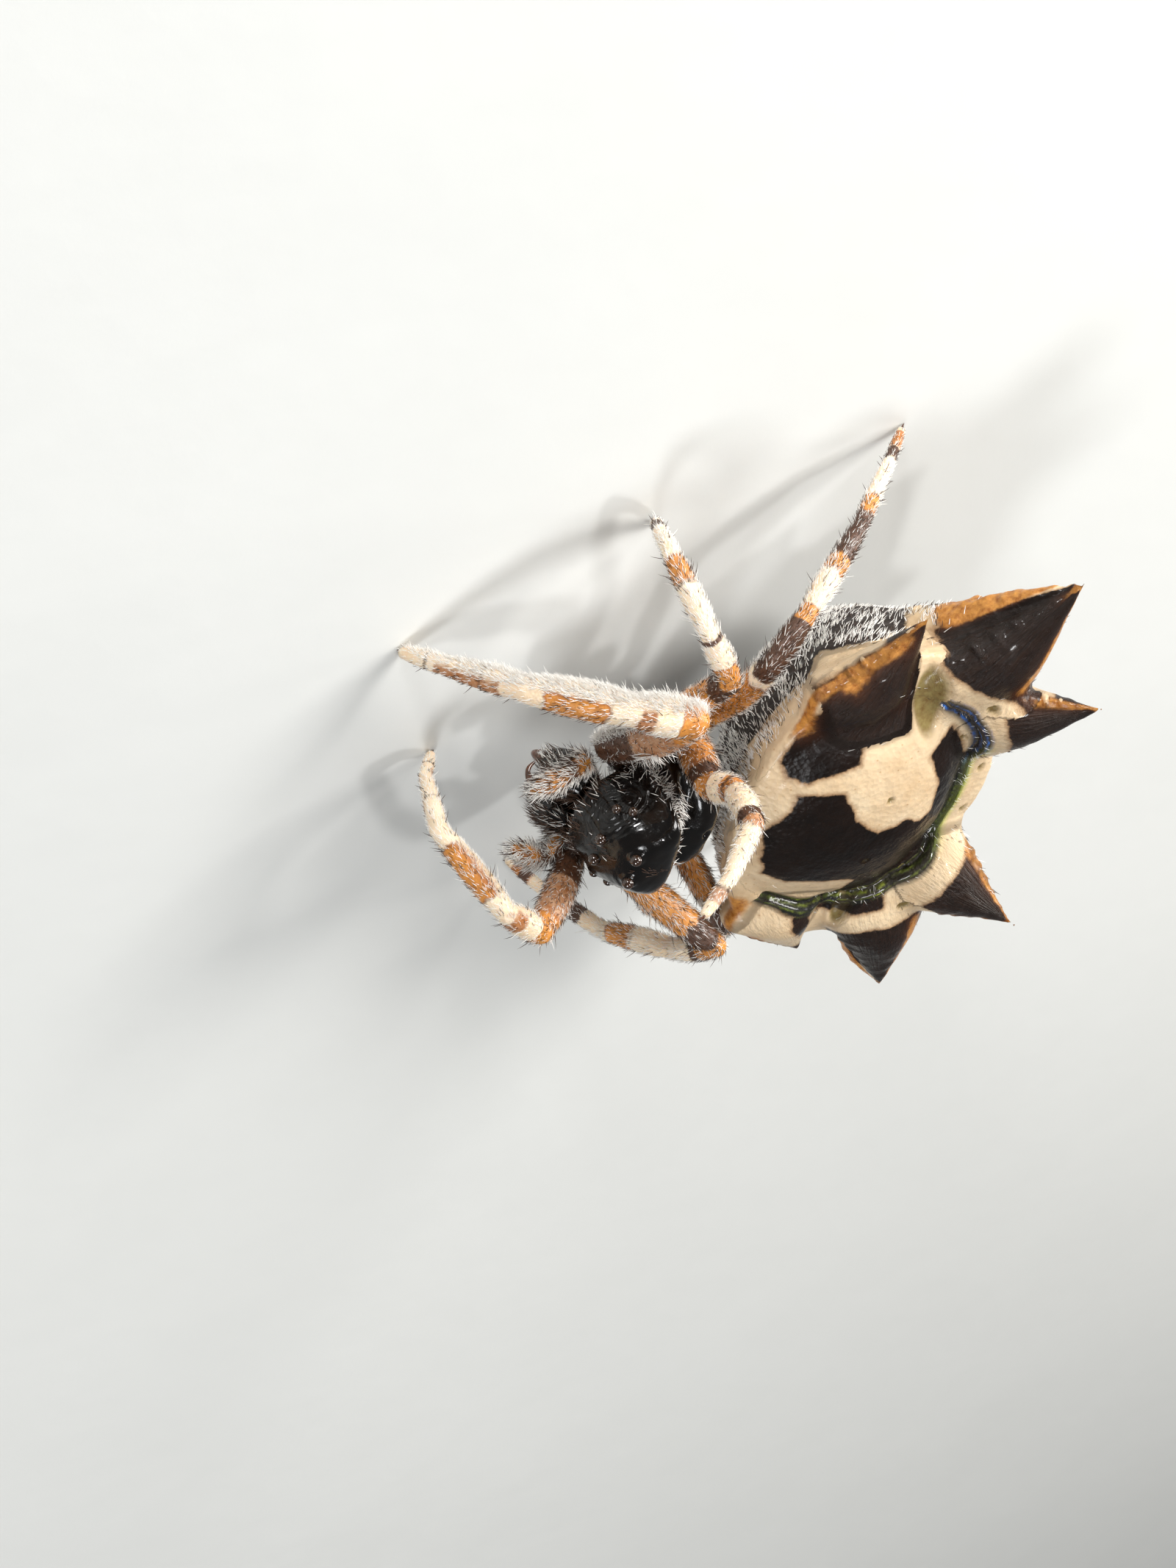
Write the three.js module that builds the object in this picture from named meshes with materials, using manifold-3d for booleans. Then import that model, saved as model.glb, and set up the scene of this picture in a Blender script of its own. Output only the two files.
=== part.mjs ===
// Six-spined orb weaver spider, life size, standing with one leg tucked up.
// Millimetres, +Z up. The body is built round the middle of the carapace, with the head towards +X
// and the spider's left towards +Y, and the whole group is then set down with the middle of its
// bounding box's base at the origin.
import * as THREE from "three";
import { mergeVertices } from "three/addons/utils/BufferGeometryUtils.js";
import Module from "manifold-3d";

// ---- driving dimensions, mm -------------------------------------------------------------------
const FLOOR = -2.8; // height of the ground below the middle of the carapace
const GAP = 0.03; // clearance between pieces that touch in life

const CARAPACE = {
  middle: 0.12,
  halfLength: 1.52,
  thoraxHalfWidth: 1.28,
  headHalfWidth: 0.98,
  underside: -0.34,
};
const HUMPS = {
  // along x, height above the underside, reach along x, and how flat the top is
  head: { x: 0.9, height: 1.48, reach: 0.88, flatness: 4 },
  thorax: { x: -0.42, height: 1.12, reach: 0.72, flatness: 2 },
};
const EYES = [
  // place on the carapace as a turn from straight ahead, in degrees, and a share of the way out
  // from its middle, and radius
  { name: "front_middle", turn: 8, spread: 0.93, radius: 0.1 },
  { name: "rear_middle", turn: 13, spread: 0.76, radius: 0.1 },
  { name: "front_side", turn: 42, spread: 0.97, radius: 0.08 },
  { name: "rear_side", turn: 52, spread: 0.95, radius: 0.08 },
];
const EYE_STAND_OUT = 0.45; // how far an eye's middle is above the carapace, in radii
const CHELICERA = { at: [1.42, 0.4, -0.95], half: [0.4, 0.36, 0.56], lean: 0.16 };
const FANG = { root: [1.62, 0.3, -1.53], tip: [1.32, 0.1, -1.82], radius: 0.1 };
const PALP = {
  path: [
    [1.24, 0.8, -0.84],
    [1.52, 1.04, -0.62],
    [1.88, 1.0, -0.48],
    [2.38, 0.7, -0.56],
  ],
  radii: [0.13, 0.2, 0.23, 0.24],
};
const STERNUM = { at: [-0.05, 0, -0.69], half: [0.82, 0.6, 0.33] };
const MOUTH = { at: [0.98, 0, -0.92], half: [0.25, 0.42, 0.24] };

const SHIELD = {
  middle: -4.0,
  front: 2.85,
  back: 2.1,
  side: 3.42,
  roundness: 2.3,
  rimAtMiddle: 0.98,
  rimSlope: -0.13,
  crown: 0.86,
};
const BELLY = { apexX: -4.25, apexZ: -2.2, fullness: 1.7, flankFullness: 0.52 };
const SPINE_TAPER = 1.12; // above 1 the sides of a spine are hollow
const SPINE_RINGS = 6;
const SPINE_SIDES = 14;
const SPINNERETS = { radius: 0.36, length: 0.34 };
const SPINES = [
  // base, and tips on the spider's right and left, which differ a little
  { name: "middle", base: [-4.9, 2.6, 1.1], tips: [[-5.88, 4.97, 1.6], [-5.6, 5.05, 1.43]], radius: 1.15 },
  { name: "back", base: [-5.3, 1.75, 1.3], tips: [[-6.8, 2.53, 2.35], [-6.92, 2.65, 2.62]], radius: 0.98 },
  { name: "front", base: [-2.7, 2.35, 0.7], tips: [[-3.5, 4.15, 0.8], [-3.45, 3.65, 1.05]], radius: 1 },
];

// Length of the patella, tibia, metatarsus and tarsus of each pair of legs, front to back
const SEGMENTS = [
  [0.95, 1.75, 1.4, 0.9],
  [0.9, 1.5, 1.3, 0.85],
  [0.65, 1.0, 1.0, 0.7],
  [0.95, 1.85, 1.85, 0.85],
];
const HIPS = [
  [1.0, 1.2],
  [0.38, 1.5],
  [-0.3, 1.5],
  [-0.95, 1.25],
];
const HIP_HEIGHT = -0.66;
const COXA_START = 0.62; // where a coxa begins, as a fraction of the way out to the hip
const LEG_RADII = { coxaStart: 0.15, hip: 0.24, femur: 0.29, knee: 0.28, tibia: 0.27, wrist: 0.26, foot: 0.25 };
const LEG_SIZE = { right: [1.45, 1, 1.15, 1], left: [1.15, 1, 1, 1] }; // how thick each leg is beside the usual
const POSES = {
  right: [
    { knee: [0.93, -3.1, 0.8], foot: [3.99, -2.24], bow: [0.5, -0.55, 0.75] },
    { knee: [0.21, -3.6, 0.6], foot: [-0.42, -3.9], bow: [0.58, -0.69, 0.42] },
    { knee: [0.2, -1.55, 0.95], tip: [1.75, -1.42, 3.2], bow: [-0.1, -0.6, 0.75] },
    { knee: [-1.07, -3.14, 0.15], foot: [-5.23, -4.84], bow: [0.35, -0.63, 0.63] },
  ],
  left: [
    { knee: [2.5, 1.35, 0.7], foot: [2.85, 0.4], bow: [0.62, -0.33, 0.8] },
    { knee: [-1.2, 2.6, 1.15], foot: [0.38, 3.81], bow: [-0.67, 1.68, 2.19] },
    { knee: [-0.6, 2.6, -0.1], foot: [-1.4, 3.35], bow: [-0.8, 0.8, 0.3] },
    { knee: [-2.0, 3.0, 0.15], foot: [-5.6, 4.3], bow: [0, 1, 0.4] },
  ],
};
const TURN_SHARE = [0.75, 1, 0.35]; // how a leg's bend is shared between its lower joints
const FOOT_SINK = 0.13; // how far above the ground the round end of a foot has its middle

const SIDES = 8;
const wasm = await Module();
wasm.setup();

// ---- materials ----------------------------------------------------------------------------------
const finish = (color, roughness) => new THREE.MeshStandardMaterial({ color, roughness, metalness: 0 });
const COLOURS = {
  black: () => finish(0x15110f, 0.2),
  brown: () => finish(0x5a3016, 0.45),
  cream: () => finish(0xe2d3b4, 0.5),
  orange: () => finish(0xb8691f, 0.45),
  eye: () => finish(0x050506, 0.05),
  horn: () => finish(0x2a1a12, 0.35),
};

// ---- small tools --------------------------------------------------------------------------------
const vec = ([x, y, z]) => new THREE.Vector3(x, y, z);
const mirrored = ([x, y, z]) => [x, -y, z];
const SIDES_OF_BODY = [["right", mirrored], ["left", (point) => point]];

function closed(geometry) {
  geometry.deleteAttribute("normal");
  geometry.deleteAttribute("uv");
  return mergeVertices(geometry, 1e-5);
}

function toSolid(geometry) {
  const merged = closed(geometry.clone());
  return new wasm.Manifold(
    new wasm.Mesh({
      numProp: 3,
      vertProperties: new Float32Array(merged.attributes.position.array),
      triVerts: new Uint32Array(merged.index.array),
    }),
  );
}

// What is left of a body once the tools are taken away, without the slivers that this can part off
function cut(geometry, ...tools) {
  const result = tools.reduce((solid, tool) => solid.subtract(toSolid(tool)), toSolid(geometry));
  const pieces = result.decompose().sort((a, b) => b.volume() - a.volume());
  const { vertProperties, triVerts } = pieces[0].getMesh();
  const out = new THREE.BufferGeometry();
  out.setAttribute("position", new THREE.BufferAttribute(vertProperties, 3));
  out.setIndex(new THREE.BufferAttribute(triVerts, 1));
  return out;
}

// A sphere whose every point is moved by place(turn, spread, up): turn is the angle about +Z,
// spread runs from 0 at a pole to 1 at the rim, and up is true above the rim.
function dome(sides, rings, place) {
  const geometry = new THREE.SphereGeometry(1, sides, rings).rotateX(Math.PI / 2);
  const position = geometry.attributes.position;
  for (let i = 0; i < position.count; i += 1) {
    const point = new THREE.Vector3().fromBufferAttribute(position, i);
    const down = Math.acos(THREE.MathUtils.clamp(point.z, -1, 1)) / (Math.PI / 2);
    const spread = Math.hypot(point.x, point.y) < 1e-6 ? 0 : Math.min(down, 2 - down);
    const moved = place(Math.atan2(point.y, point.x), spread, down <= 1 + 1e-6);
    position.setXYZ(i, moved.x, moved.y, moved.z);
  }
  return closed(geometry);
}

function ellipsoid(at, half, sides = 14, rings = 10) {
  const geometry = new THREE.SphereGeometry(1, sides, rings).rotateX(Math.PI / 2);
  return closed(geometry.scale(...half).translate(...at));
}

// A round-ended limb: a sphere drawn out along a path, with a radius at each of its points
function limb(points, radii, extra = 0, rings = 9) {
  const path = new THREE.CatmullRomCurve3(points.map(vec), false, "centripetal");
  const samples = 60;
  const radiusAt = (u) => {
    const place = u * (radii.length - 1);
    const before = Math.min(Math.floor(place), radii.length - 2);
    return THREE.MathUtils.lerp(radii[before], radii[before + 1], place - before) + extra;
  };
  const capRings = 2;
  const frames = path.computeFrenetFrames(samples, false);
  const geometry = new THREE.SphereGeometry(1, SIDES, rings);
  const position = geometry.attributes.position;
  for (let i = 0; i < position.count; i += 1) {
    const point = new THREE.Vector3().fromBufferAttribute(position, i);
    const ring = Math.round((Math.acos(THREE.MathUtils.clamp(point.y, -1, 1)) / Math.PI) * rings);
    const around = Math.atan2(point.z, point.x);
    const capStart = Math.max(0, capRings - ring) / capRings;
    const capEnd = Math.max(0, ring - (rings - capRings)) / capRings;
    const u = THREE.MathUtils.clamp((ring - capRings) / (rings - 2 * capRings), 0, 1);
    const radius = radiusAt(u);
    const cap = Math.max(capStart, capEnd) * (Math.PI / 2);
    const k = Math.round(u * samples);
    const moved = path.getPoint(u);
    moved.addScaledVector(frames.tangents[k], Math.sin(cap) * radius * (capEnd > 0 ? 1 : -1));
    const out = capStart === 1 || capEnd === 1 ? 0 : Math.cos(cap) * radius;
    moved.addScaledVector(frames.normals[k], Math.cos(around) * out);
    moved.addScaledVector(frames.binormals[k], Math.sin(around) * out);
    position.setXYZ(i, moved.x, moved.y, moved.z);
  }
  return closed(geometry);
}

const root = new THREE.Group();
function add(name, geometry, colour) {
  const mesh = new THREE.Mesh(geometry, COLOURS[colour]());
  mesh.name = name;
  root.add(mesh);
  return mesh;
}

// ---- front of the body ----------------------------------------------------------------------------
const bump = ({ x: middle, height, reach, flatness }, x) =>
  height * Math.exp(-(Math.abs((x - middle) / reach) ** flatness));
const carapaceHeight = (x) => Math.hypot(bump(HUMPS.head, x) ** 2, bump(HUMPS.thorax, x) ** 2) ** 0.5;

function carapacePoint(turn, spread, up) {
  const { middle, halfLength, thoraxHalfWidth, headHalfWidth, underside } = CARAPACE;
  const squareness = Math.cos(turn) > 0 ? 0.7 : 0.9;
  const stretch = (value) => Math.sign(value) * Math.abs(value) ** squareness * spread;
  const x = middle + halfLength * stretch(Math.cos(turn));
  const towardsHead = THREE.MathUtils.smoothstep(x, 0.05, 0.95);
  const halfWidth = THREE.MathUtils.lerp(thoraxHalfWidth, headHalfWidth, towardsHead);
  const steepness = THREE.MathUtils.lerp(3, 7, towardsHead);
  const rise = up ? (1 - spread ** steepness) ** 0.5 * carapaceHeight(x) : 0;
  return new THREE.Vector3(x, halfWidth * stretch(Math.sin(turn)), underside + rise);
}

function onCarapace(turn, spread, lift) {
  const point = carapacePoint(turn, spread, true);
  const outward = carapacePoint(turn, spread - 0.02, true).sub(point);
  const sideways = carapacePoint(turn + 0.02, spread, true).sub(point);
  const normal = outward.negate().cross(sideways).normalize();
  return point.addScaledVector(normal, lift).toArray();
}

const eyes = EYES.flatMap(({ name, turn, spread, radius }) => {
  const at = onCarapace(THREE.MathUtils.degToRad(turn), spread, radius * EYE_STAND_OUT);
  return [
    { name: `eye_right_${name}`, at: mirrored(at), radius },
    { name: `eye_left_${name}`, at, radius },
  ];
});
const eyeball = ({ at, radius }, extra = 0) =>
  closed(new THREE.IcosahedronGeometry(radius + extra, 1)).translate(...at);
const sockets = eyes.map((eye) => eyeball(eye, GAP));
add("carapace", cut(dome(26, 16, carapacePoint), ...sockets), "black");
eyes.forEach((eye) => add(eye.name, eyeball(eye), "eye"));

add("sternum", ellipsoid(STERNUM.at, STERNUM.half, 16, 8), "brown");
add("mouthparts", ellipsoid(MOUTH.at, MOUTH.half, 12, 8), "brown");

for (const [side, flip] of SIDES_OF_BODY) {
  const { at, half, lean } = CHELICERA;
  const jaw = (extra = 0) =>
    ellipsoid([0, 0, 0], half.map((v) => v + extra), 12, 8)
      .rotateY(-lean)
      .translate(...flip(at));
  add(`chelicera_${side}`, jaw(), "black");
  const bend = FANG.root.map((v, i) => (v + FANG.tip[i]) / 2 + [0.1, 0, -0.03][i]);
  const fang = limb([FANG.root, bend, FANG.tip].map(flip), [FANG.radius, 0.08, 0.03], 0, 8);
  add(`fang_${side}`, fang, "black");
  add(`palp_${side}`, cut(limb(PALP.path.map(flip), PALP.radii), jaw(GAP)), "orange");
}

// ---- legs -----------------------------------------------------------------------------------------
// The lower four segments run from the knee to the tip in one plane. Their turns are in fixed shares,
// so one angle is searched for at which the chain is just as long as the way from knee to tip.
function chain(lengths, bend) {
  const points = [new THREE.Vector2()];
  let heading = 0;
  lengths.forEach((length, i) => {
    const last = points[points.length - 1];
    points.push(new THREE.Vector2(last.x + length * Math.cos(heading), last.y + length * Math.sin(heading)));
    heading -= bend * (TURN_SHARE[i] ?? 0);
  });
  return points;
}

function lowerLeg(knee, tip, lengths, bow) {
  const chord = tip.clone().sub(knee);
  let low = 0;
  let high = 1.6;
  for (let i = 0; i < 40; i += 1) {
    const middle = (low + high) / 2;
    const reach = chain(lengths, middle).at(-1).length();
    if (reach > chord.length()) low = middle;
    else high = middle;
  }
  const flat = chain(lengths, low);
  const end = flat.at(-1);
  const stretch = chord.length() / end.length();
  const ahead = chord.clone().normalize();
  const outward = bow.clone().addScaledVector(ahead, -bow.dot(ahead)).normalize();
  return flat.map((p) => {
    const along = (p.x * end.x + p.y * end.y) / end.length();
    const aside = (p.y * end.x - p.x * end.y) / end.length();
    return knee.clone().addScaledVector(ahead, along * stretch).addScaledVector(outward, aside);
  });
}

const ground = new THREE.BoxGeometry(30, 30, 2).translate(0, 0, FLOOR - 1);

function buildLeg(side, index) {
  const pose = POSES[side][index];
  const [hipX, hipY] = HIPS[index];
  const sideSign = side === "right" ? -1 : 1;
  const hip = new THREE.Vector3(hipX, hipY * sideSign, HIP_HEIGHT);
  const start = new THREE.Vector3(hip.x * COXA_START, hip.y * COXA_START, HIP_HEIGHT - 0.06);
  const knee = vec(pose.knee);
  const tip = pose.tip ? vec(pose.tip) : new THREE.Vector3(...pose.foot, FLOOR + FOOT_SINK);
  const [, patellaEnd, tibiaEnd, metatarsusEnd, tarsusEnd] = lowerLeg(knee, tip, SEGMENTS[index], vec(pose.bow));
  const list = (...points) => points.map((p) => p.toArray());
  const size = LEG_SIZE[side][index];
  const r = Object.fromEntries(Object.entries(LEG_RADII).map(([part, radius]) => [part, radius * size]));
  r.foot = LEG_RADII.foot;
  const middleOfFemur = hip.clone().lerp(knee, 0.5);
  const upper = [list(start, hip, middleOfFemur, knee), [r.coxaStart, r.hip, r.femur, r.knee]];
  const middle = [list(knee, patellaEnd, tibiaEnd), [r.knee - 0.02, r.tibia, r.wrist]];
  const lower = [list(tibiaEnd, metatarsusEnd, tarsusEnd), [r.wrist - 0.01, r.foot, r.foot]];
  const number = index + 1;
  add(`leg_${side}_${number}_femur`, limb(...upper), "orange");
  add(`leg_${side}_${number}_tibia`, cut(limb(...middle), limb(...upper, GAP)), "cream");
  const foot = cut(limb(...lower), limb(...middle, GAP));
  add(`leg_${side}_${number}_foot`, pose.tip ? foot : cut(foot, ground), "cream");
}

for (const side of ["right", "left"]) {
  SEGMENTS.forEach((_, index) => buildLeg(side, index));
}

// ---- back of the body -----------------------------------------------------------------------------
const rimHeight = (x) => SHIELD.rimAtMiddle + SHIELD.rimSlope * (x - SHIELD.middle);

function rimRadius(turn) {
  const { front, back, side, roundness } = SHIELD;
  const lengthwise = Math.abs(Math.cos(turn)) / (Math.cos(turn) > 0 ? front : back);
  const crosswise = Math.abs(Math.sin(turn)) / side;
  return (lengthwise ** roundness + crosswise ** roundness) ** (-1 / roundness);
}

const shieldPoint = (extra) => (turn, spread, up) => {
  const reach = (rimRadius(turn) + extra) * spread;
  const x = SHIELD.middle + reach * Math.cos(turn);
  const rise = up ? (SHIELD.crown + extra) * (1 - spread ** 3.2) : -extra * 2;
  return new THREE.Vector3(x, reach * Math.sin(turn), rimHeight(x) + GAP / 2 + rise);
};

const bellyPoint = (extra) => (turn, spread, up) => {
  const reach = (rimRadius(turn) + extra) * spread ** (up ? 1 : BELLY.flankFullness);
  const depth = up ? 0 : 1 - spread ** BELLY.fullness;
  const middle = THREE.MathUtils.lerp(SHIELD.middle, BELLY.apexX, depth);
  const x = middle + reach * Math.cos(turn);
  const top = rimHeight(x) - GAP / 2 + (up ? extra : 0);
  return new THREE.Vector3(x, reach * Math.sin(turn), THREE.MathUtils.lerp(top, BELLY.apexZ - extra, depth));
};

const shield = (extra = 0) => dome(30, 12, shieldPoint(extra));
const belly = (extra = 0) => dome(30, 12, bellyPoint(extra));
const spinnerets = (extra = 0) =>
  closed(new THREE.CylinderGeometry(SPINNERETS.radius * 0.6 + extra, SPINNERETS.radius + extra, SPINNERETS.length, 12))
    .rotateX(-Math.PI / 2)
    .translate(BELLY.apexX, 0, BELLY.apexZ - 0.1);

add("abdomen_shield", shield(), "cream");
add("abdomen_belly", belly(), "black");
add("spinnerets", cut(spinnerets(), belly(GAP)), "brown");

const waist = limb([[-1.05, 0, -0.66], [-1.5, 0, -0.6], [-2.2, 0, -0.45]], [0.2, 0.22, 0.25]);
add("pedicel", cut(waist, belly(GAP), ellipsoid(STERNUM.at, STERNUM.half.map((v) => v + GAP), 16, 8)), "brown");

function spine(base, tip, radius) {
  const along = vec(tip).sub(vec(base));
  const profile = [new THREE.Vector2(0, 0)];
  for (let i = 0; i < SPINE_RINGS; i += 1) {
    const t = i / SPINE_RINGS;
    profile.push(new THREE.Vector2(radius * (1 - t) ** SPINE_TAPER, t * along.length()));
  }
  profile.push(new THREE.Vector2(0, along.length()));
  const geometry = new THREE.LatheGeometry(profile, SPINE_SIDES);
  const turn = new THREE.Quaternion().setFromUnitVectors(new THREE.Vector3(0, 1, 0), along.clone().normalize());
  return closed(geometry.applyQuaternion(turn).translate(...base));
}

for (const [side, flip] of SIDES_OF_BODY) {
  const taken = [shield(GAP), belly(GAP)];
  for (const { name, base, tips, radius } of SPINES) {
    const [from, to] = [base, tips[side === "right" ? 0 : 1]].map(flip);
    add(`spine_${side}_${name}`, cut(spine(from, to, radius), ...taken), "horn");
    taken.push(spine(from, to, radius + GAP));
  }
}

// ---- set down on the ground -----------------------------------------------------------------------
root.updateMatrixWorld(true);
const box = new THREE.Box3().setFromObject(root, true);
const middle = box.getCenter(new THREE.Vector3());
root.position.set(-middle.x, -middle.y, -box.min.z);
root.updateMatrixWorld(true);

export default root;
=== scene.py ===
# %% [markdown]
# # Six-spined orb weaver, life size
# A small hard-bodied spider from a round web, about a centimetre across its spines. It is modelled in
# millimetres round the middle of its carapace, with the head towards +X and its left side towards +Y.
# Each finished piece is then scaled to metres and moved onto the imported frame, because Blender's
# remesh works better on a shape some units wide than on one of a hundredth of a unit.

import math

import bmesh
import bpy
import numpy as np
from mathutils import Matrix, Vector, noise
from mathutils.kdtree import KDTree


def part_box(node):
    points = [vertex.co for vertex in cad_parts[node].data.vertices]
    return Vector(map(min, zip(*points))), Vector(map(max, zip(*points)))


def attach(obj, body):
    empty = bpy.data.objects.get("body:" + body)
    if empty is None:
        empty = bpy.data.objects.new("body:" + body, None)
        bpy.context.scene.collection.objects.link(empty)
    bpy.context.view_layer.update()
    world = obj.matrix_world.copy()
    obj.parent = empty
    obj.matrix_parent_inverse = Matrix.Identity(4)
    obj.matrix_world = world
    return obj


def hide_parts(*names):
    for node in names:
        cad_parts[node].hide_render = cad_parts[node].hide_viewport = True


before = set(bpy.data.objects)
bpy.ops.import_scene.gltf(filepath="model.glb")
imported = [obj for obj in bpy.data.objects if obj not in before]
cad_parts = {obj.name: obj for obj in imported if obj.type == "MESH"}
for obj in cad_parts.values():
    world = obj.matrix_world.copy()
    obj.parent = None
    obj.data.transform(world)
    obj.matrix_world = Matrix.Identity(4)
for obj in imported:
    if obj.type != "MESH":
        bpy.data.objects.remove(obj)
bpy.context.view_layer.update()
STERNUM_MIDDLE = np.array([-0.05, 0.0, -0.69])
FLOOR = -2.8
MM = 1000
low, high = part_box("sternum")
PLACE = (np.array(low) + np.array(high)) * (MM / 2) - STERNUM_MIDDLE
print("the body's middle is at", PLACE.round(3), "mm in the frame")

# %% [markdown]
# ## Small tools
# The same few moves are needed for every piece: read and write its points, join pieces, fuse them into
# one closed skin with a voxel remesh, ease that skin with a Smooth modifier, and set it in its place.


# %% Points and attributes
def read_vectors(items, key):
    flat = np.empty(len(items) * 3, np.float32)
    items.foreach_get(key, flat)
    return flat.reshape(-1, 3).astype(float)


def points_of(piece):
    return read_vectors(piece.data.vertices, "co")


def normals_of(piece):
    return read_vectors(piece.data.vertex_normals, "vector")


def set_points(piece, points):
    piece.data.vertices.foreach_set("co", np.asarray(points, np.float32).ravel())
    piece.data.update()


def store(piece, name, values, kind="FLOAT", key="value"):
    made = piece.data.attributes.new(name, kind, "POINT")
    made.data.foreach_set(key, np.asarray(values, np.float32).ravel())


# %% Starting, joining and fusing pieces
def pick(*objects):
    bpy.ops.object.select_all(action="DESELECT")
    for one in objects:
        one.select_set(True)
    bpy.context.view_layer.objects.active = objects[0]


def add_sphere(segments, rings, radius=1):
    """A sphere. Blender lists its edges and faces in another order each run, so they are sorted."""
    bpy.ops.object.select_all(action="DESELECT")
    bpy.ops.mesh.primitive_uv_sphere_add(segments=segments, ring_count=rings, radius=radius)
    sphere = bpy.context.object
    form = bmesh.new()
    form.from_mesh(sphere.data)
    count = len(form.verts)

    def by_points(element):
        first, second, *rest = sorted(point.index for point in element.verts)
        return (first * count + second) * count + (rest or [0])[0]

    form.edges.sort(key=by_points)
    form.faces.sort(key=by_points)
    form.to_mesh(sphere.data)
    form.free()
    return sphere


def copy_of(blank):
    piece = blank.copy()
    piece.data = blank.data.copy()
    bpy.context.collection.objects.link(piece)
    return piece


def join(pieces, name):
    pick(*pieces)
    if len(pieces) > 1:
        bpy.ops.object.join()
    made = bpy.context.object
    made.name = made.data.name = name
    return made


def apply_modifier(piece, kind, **settings):
    pick(piece)
    modifier = piece.modifiers.new("step", kind)
    for key, value in settings.items():
        setattr(modifier, key, value)
    bpy.ops.object.modifier_apply(modifier=modifier.name)


def fuse(piece, voxel, ease):
    apply_modifier(piece, "REMESH", mode="VOXEL", voxel_size=voxel)
    apply_modifier(piece, "SMOOTH", factor=0.5, iterations=ease)
    print(piece.name, "is one skin of", len(piece.data.polygons), "faces")


# %% Setting a finished piece down
def settle(piece, slot, finish, *nodes):
    """Onto the frame in metres, with its finish and body, and the solids it stands for. The slot argument is
    not used.
    """
    spots = points_of(piece)
    spots[:, 2] = np.maximum(spots[:, 2], FLOOR)
    set_points(piece, (spots + PLACE) / MM)
    pick(piece)
    bpy.ops.object.shade_smooth()
    piece.data.materials.clear()
    piece.data.materials.append(finish.material)
    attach(piece, "root")
    if nodes:
        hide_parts(*nodes)
    print(piece.name, "has", sum(len(f.vertices) - 2 for f in piece.data.polygons), "triangles")


# %% Soft steps, bells, rough ground and directions
def ease_step(value, start, end):
    """0 before start, 1 after end and a soft slope between them."""
    share = np.clip((np.asarray(value, float) - start) / (end - start), 0, 1)
    return share * share * (3 - 2 * share)


def bell(value, width):
    return np.exp(-((np.asarray(value, float) / width) ** 2))


def rough(points, scale, seed=0.0):
    return np.array([noise.noise(Vector(p) * scale + Vector((seed, seed, seed))) for p in points])


def unit(vectors, guard=0.0):
    """The same directions at length 1. A guard lets a vector of no length through."""
    return vectors / (np.linalg.norm(vectors, axis=-1, keepdims=True) + guard)


# %% [markdown]
# ## Tubes for limbs
# A leg is a row of round segments that swell in the middle and draw in at the joints. One cylinder is
# made by hand: its long edges are subdivided into rings. Every segment is a copy of it, with its rings
# laid along the segment's own line, and all are fused later, which leaves a soft fold at each joint.


# %% One cylinder with rings
def ringed_cylinder(sides, rings):
    bpy.ops.object.select_all(action="DESELECT")
    bpy.ops.mesh.primitive_cylinder_add(vertices=sides, radius=1, depth=1, end_fill_type="TRIFAN")
    piece = bpy.context.object
    bpy.ops.object.mode_set(mode="EDIT")
    bpy.ops.mesh.select_mode(type="EDGE")
    bpy.ops.mesh.select_all(action="DESELECT")
    bpy.ops.object.mode_set(mode="OBJECT")
    where = piece.data.vertices
    for edge in piece.data.edges:
        first, second = (where[i].co.z for i in edge.vertices)
        edge.select = abs(first - second) > 0.5
    bpy.ops.object.mode_set(mode="EDIT")
    bpy.ops.mesh.subdivide(number_cuts=rings)
    bpy.ops.object.mode_set(mode="OBJECT")
    return piece


limb_blank = ringed_cylinder(20, 18)
fine_blank = ringed_cylinder(12, 12)
spine_blank = ringed_cylinder(44, 30)
blanks = (limb_blank, fine_blank, spine_blank)
print("blanks:", [len(b.data.vertices) for b in blanks], "points")

# %% A smooth line through a few points
LINE_STEPS = 12


def smooth_line(points):
    """A curve that passes through the points without overshooting, whatever their spacing."""
    points = np.asarray(points, float)
    ends = np.vstack([2 * points[0] - points[1], points, 2 * points[-1] - points[-2]])
    line = []
    for a, b, c, d in zip(ends, ends[1:], ends[2:], ends[3:]):
        pairs = ((a, b), (b, c), (c, d))
        before, span, after = (max(np.linalg.norm(q - p), 1e-6) ** 0.5 for p, q in pairs)
        leave = ((b - a) / before - (c - a) / (before + span) + (c - b) / span) * span
        arrive = ((c - b) / span - (d - b) / (span + after) + (d - c) / after) * span
        for t in np.arange(LINE_STEPS) / LINE_STEPS:
            u = 1 - t
            point = (1 + 2 * t) * u * u * b + t * u * u * leave + t * t * (3 - 2 * t) * c
            line.append(point - t * t * u * arrive)
    line.append(points[-1])
    return np.array(line)


# %% Laying a copy along a line
ODD_DIRECTION = [0.31, 0.17, 0.93]


def along_line(line, reach, at):
    return np.stack([np.interp(at, reach, line[:, k]) for k in range(3)], 1)


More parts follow.
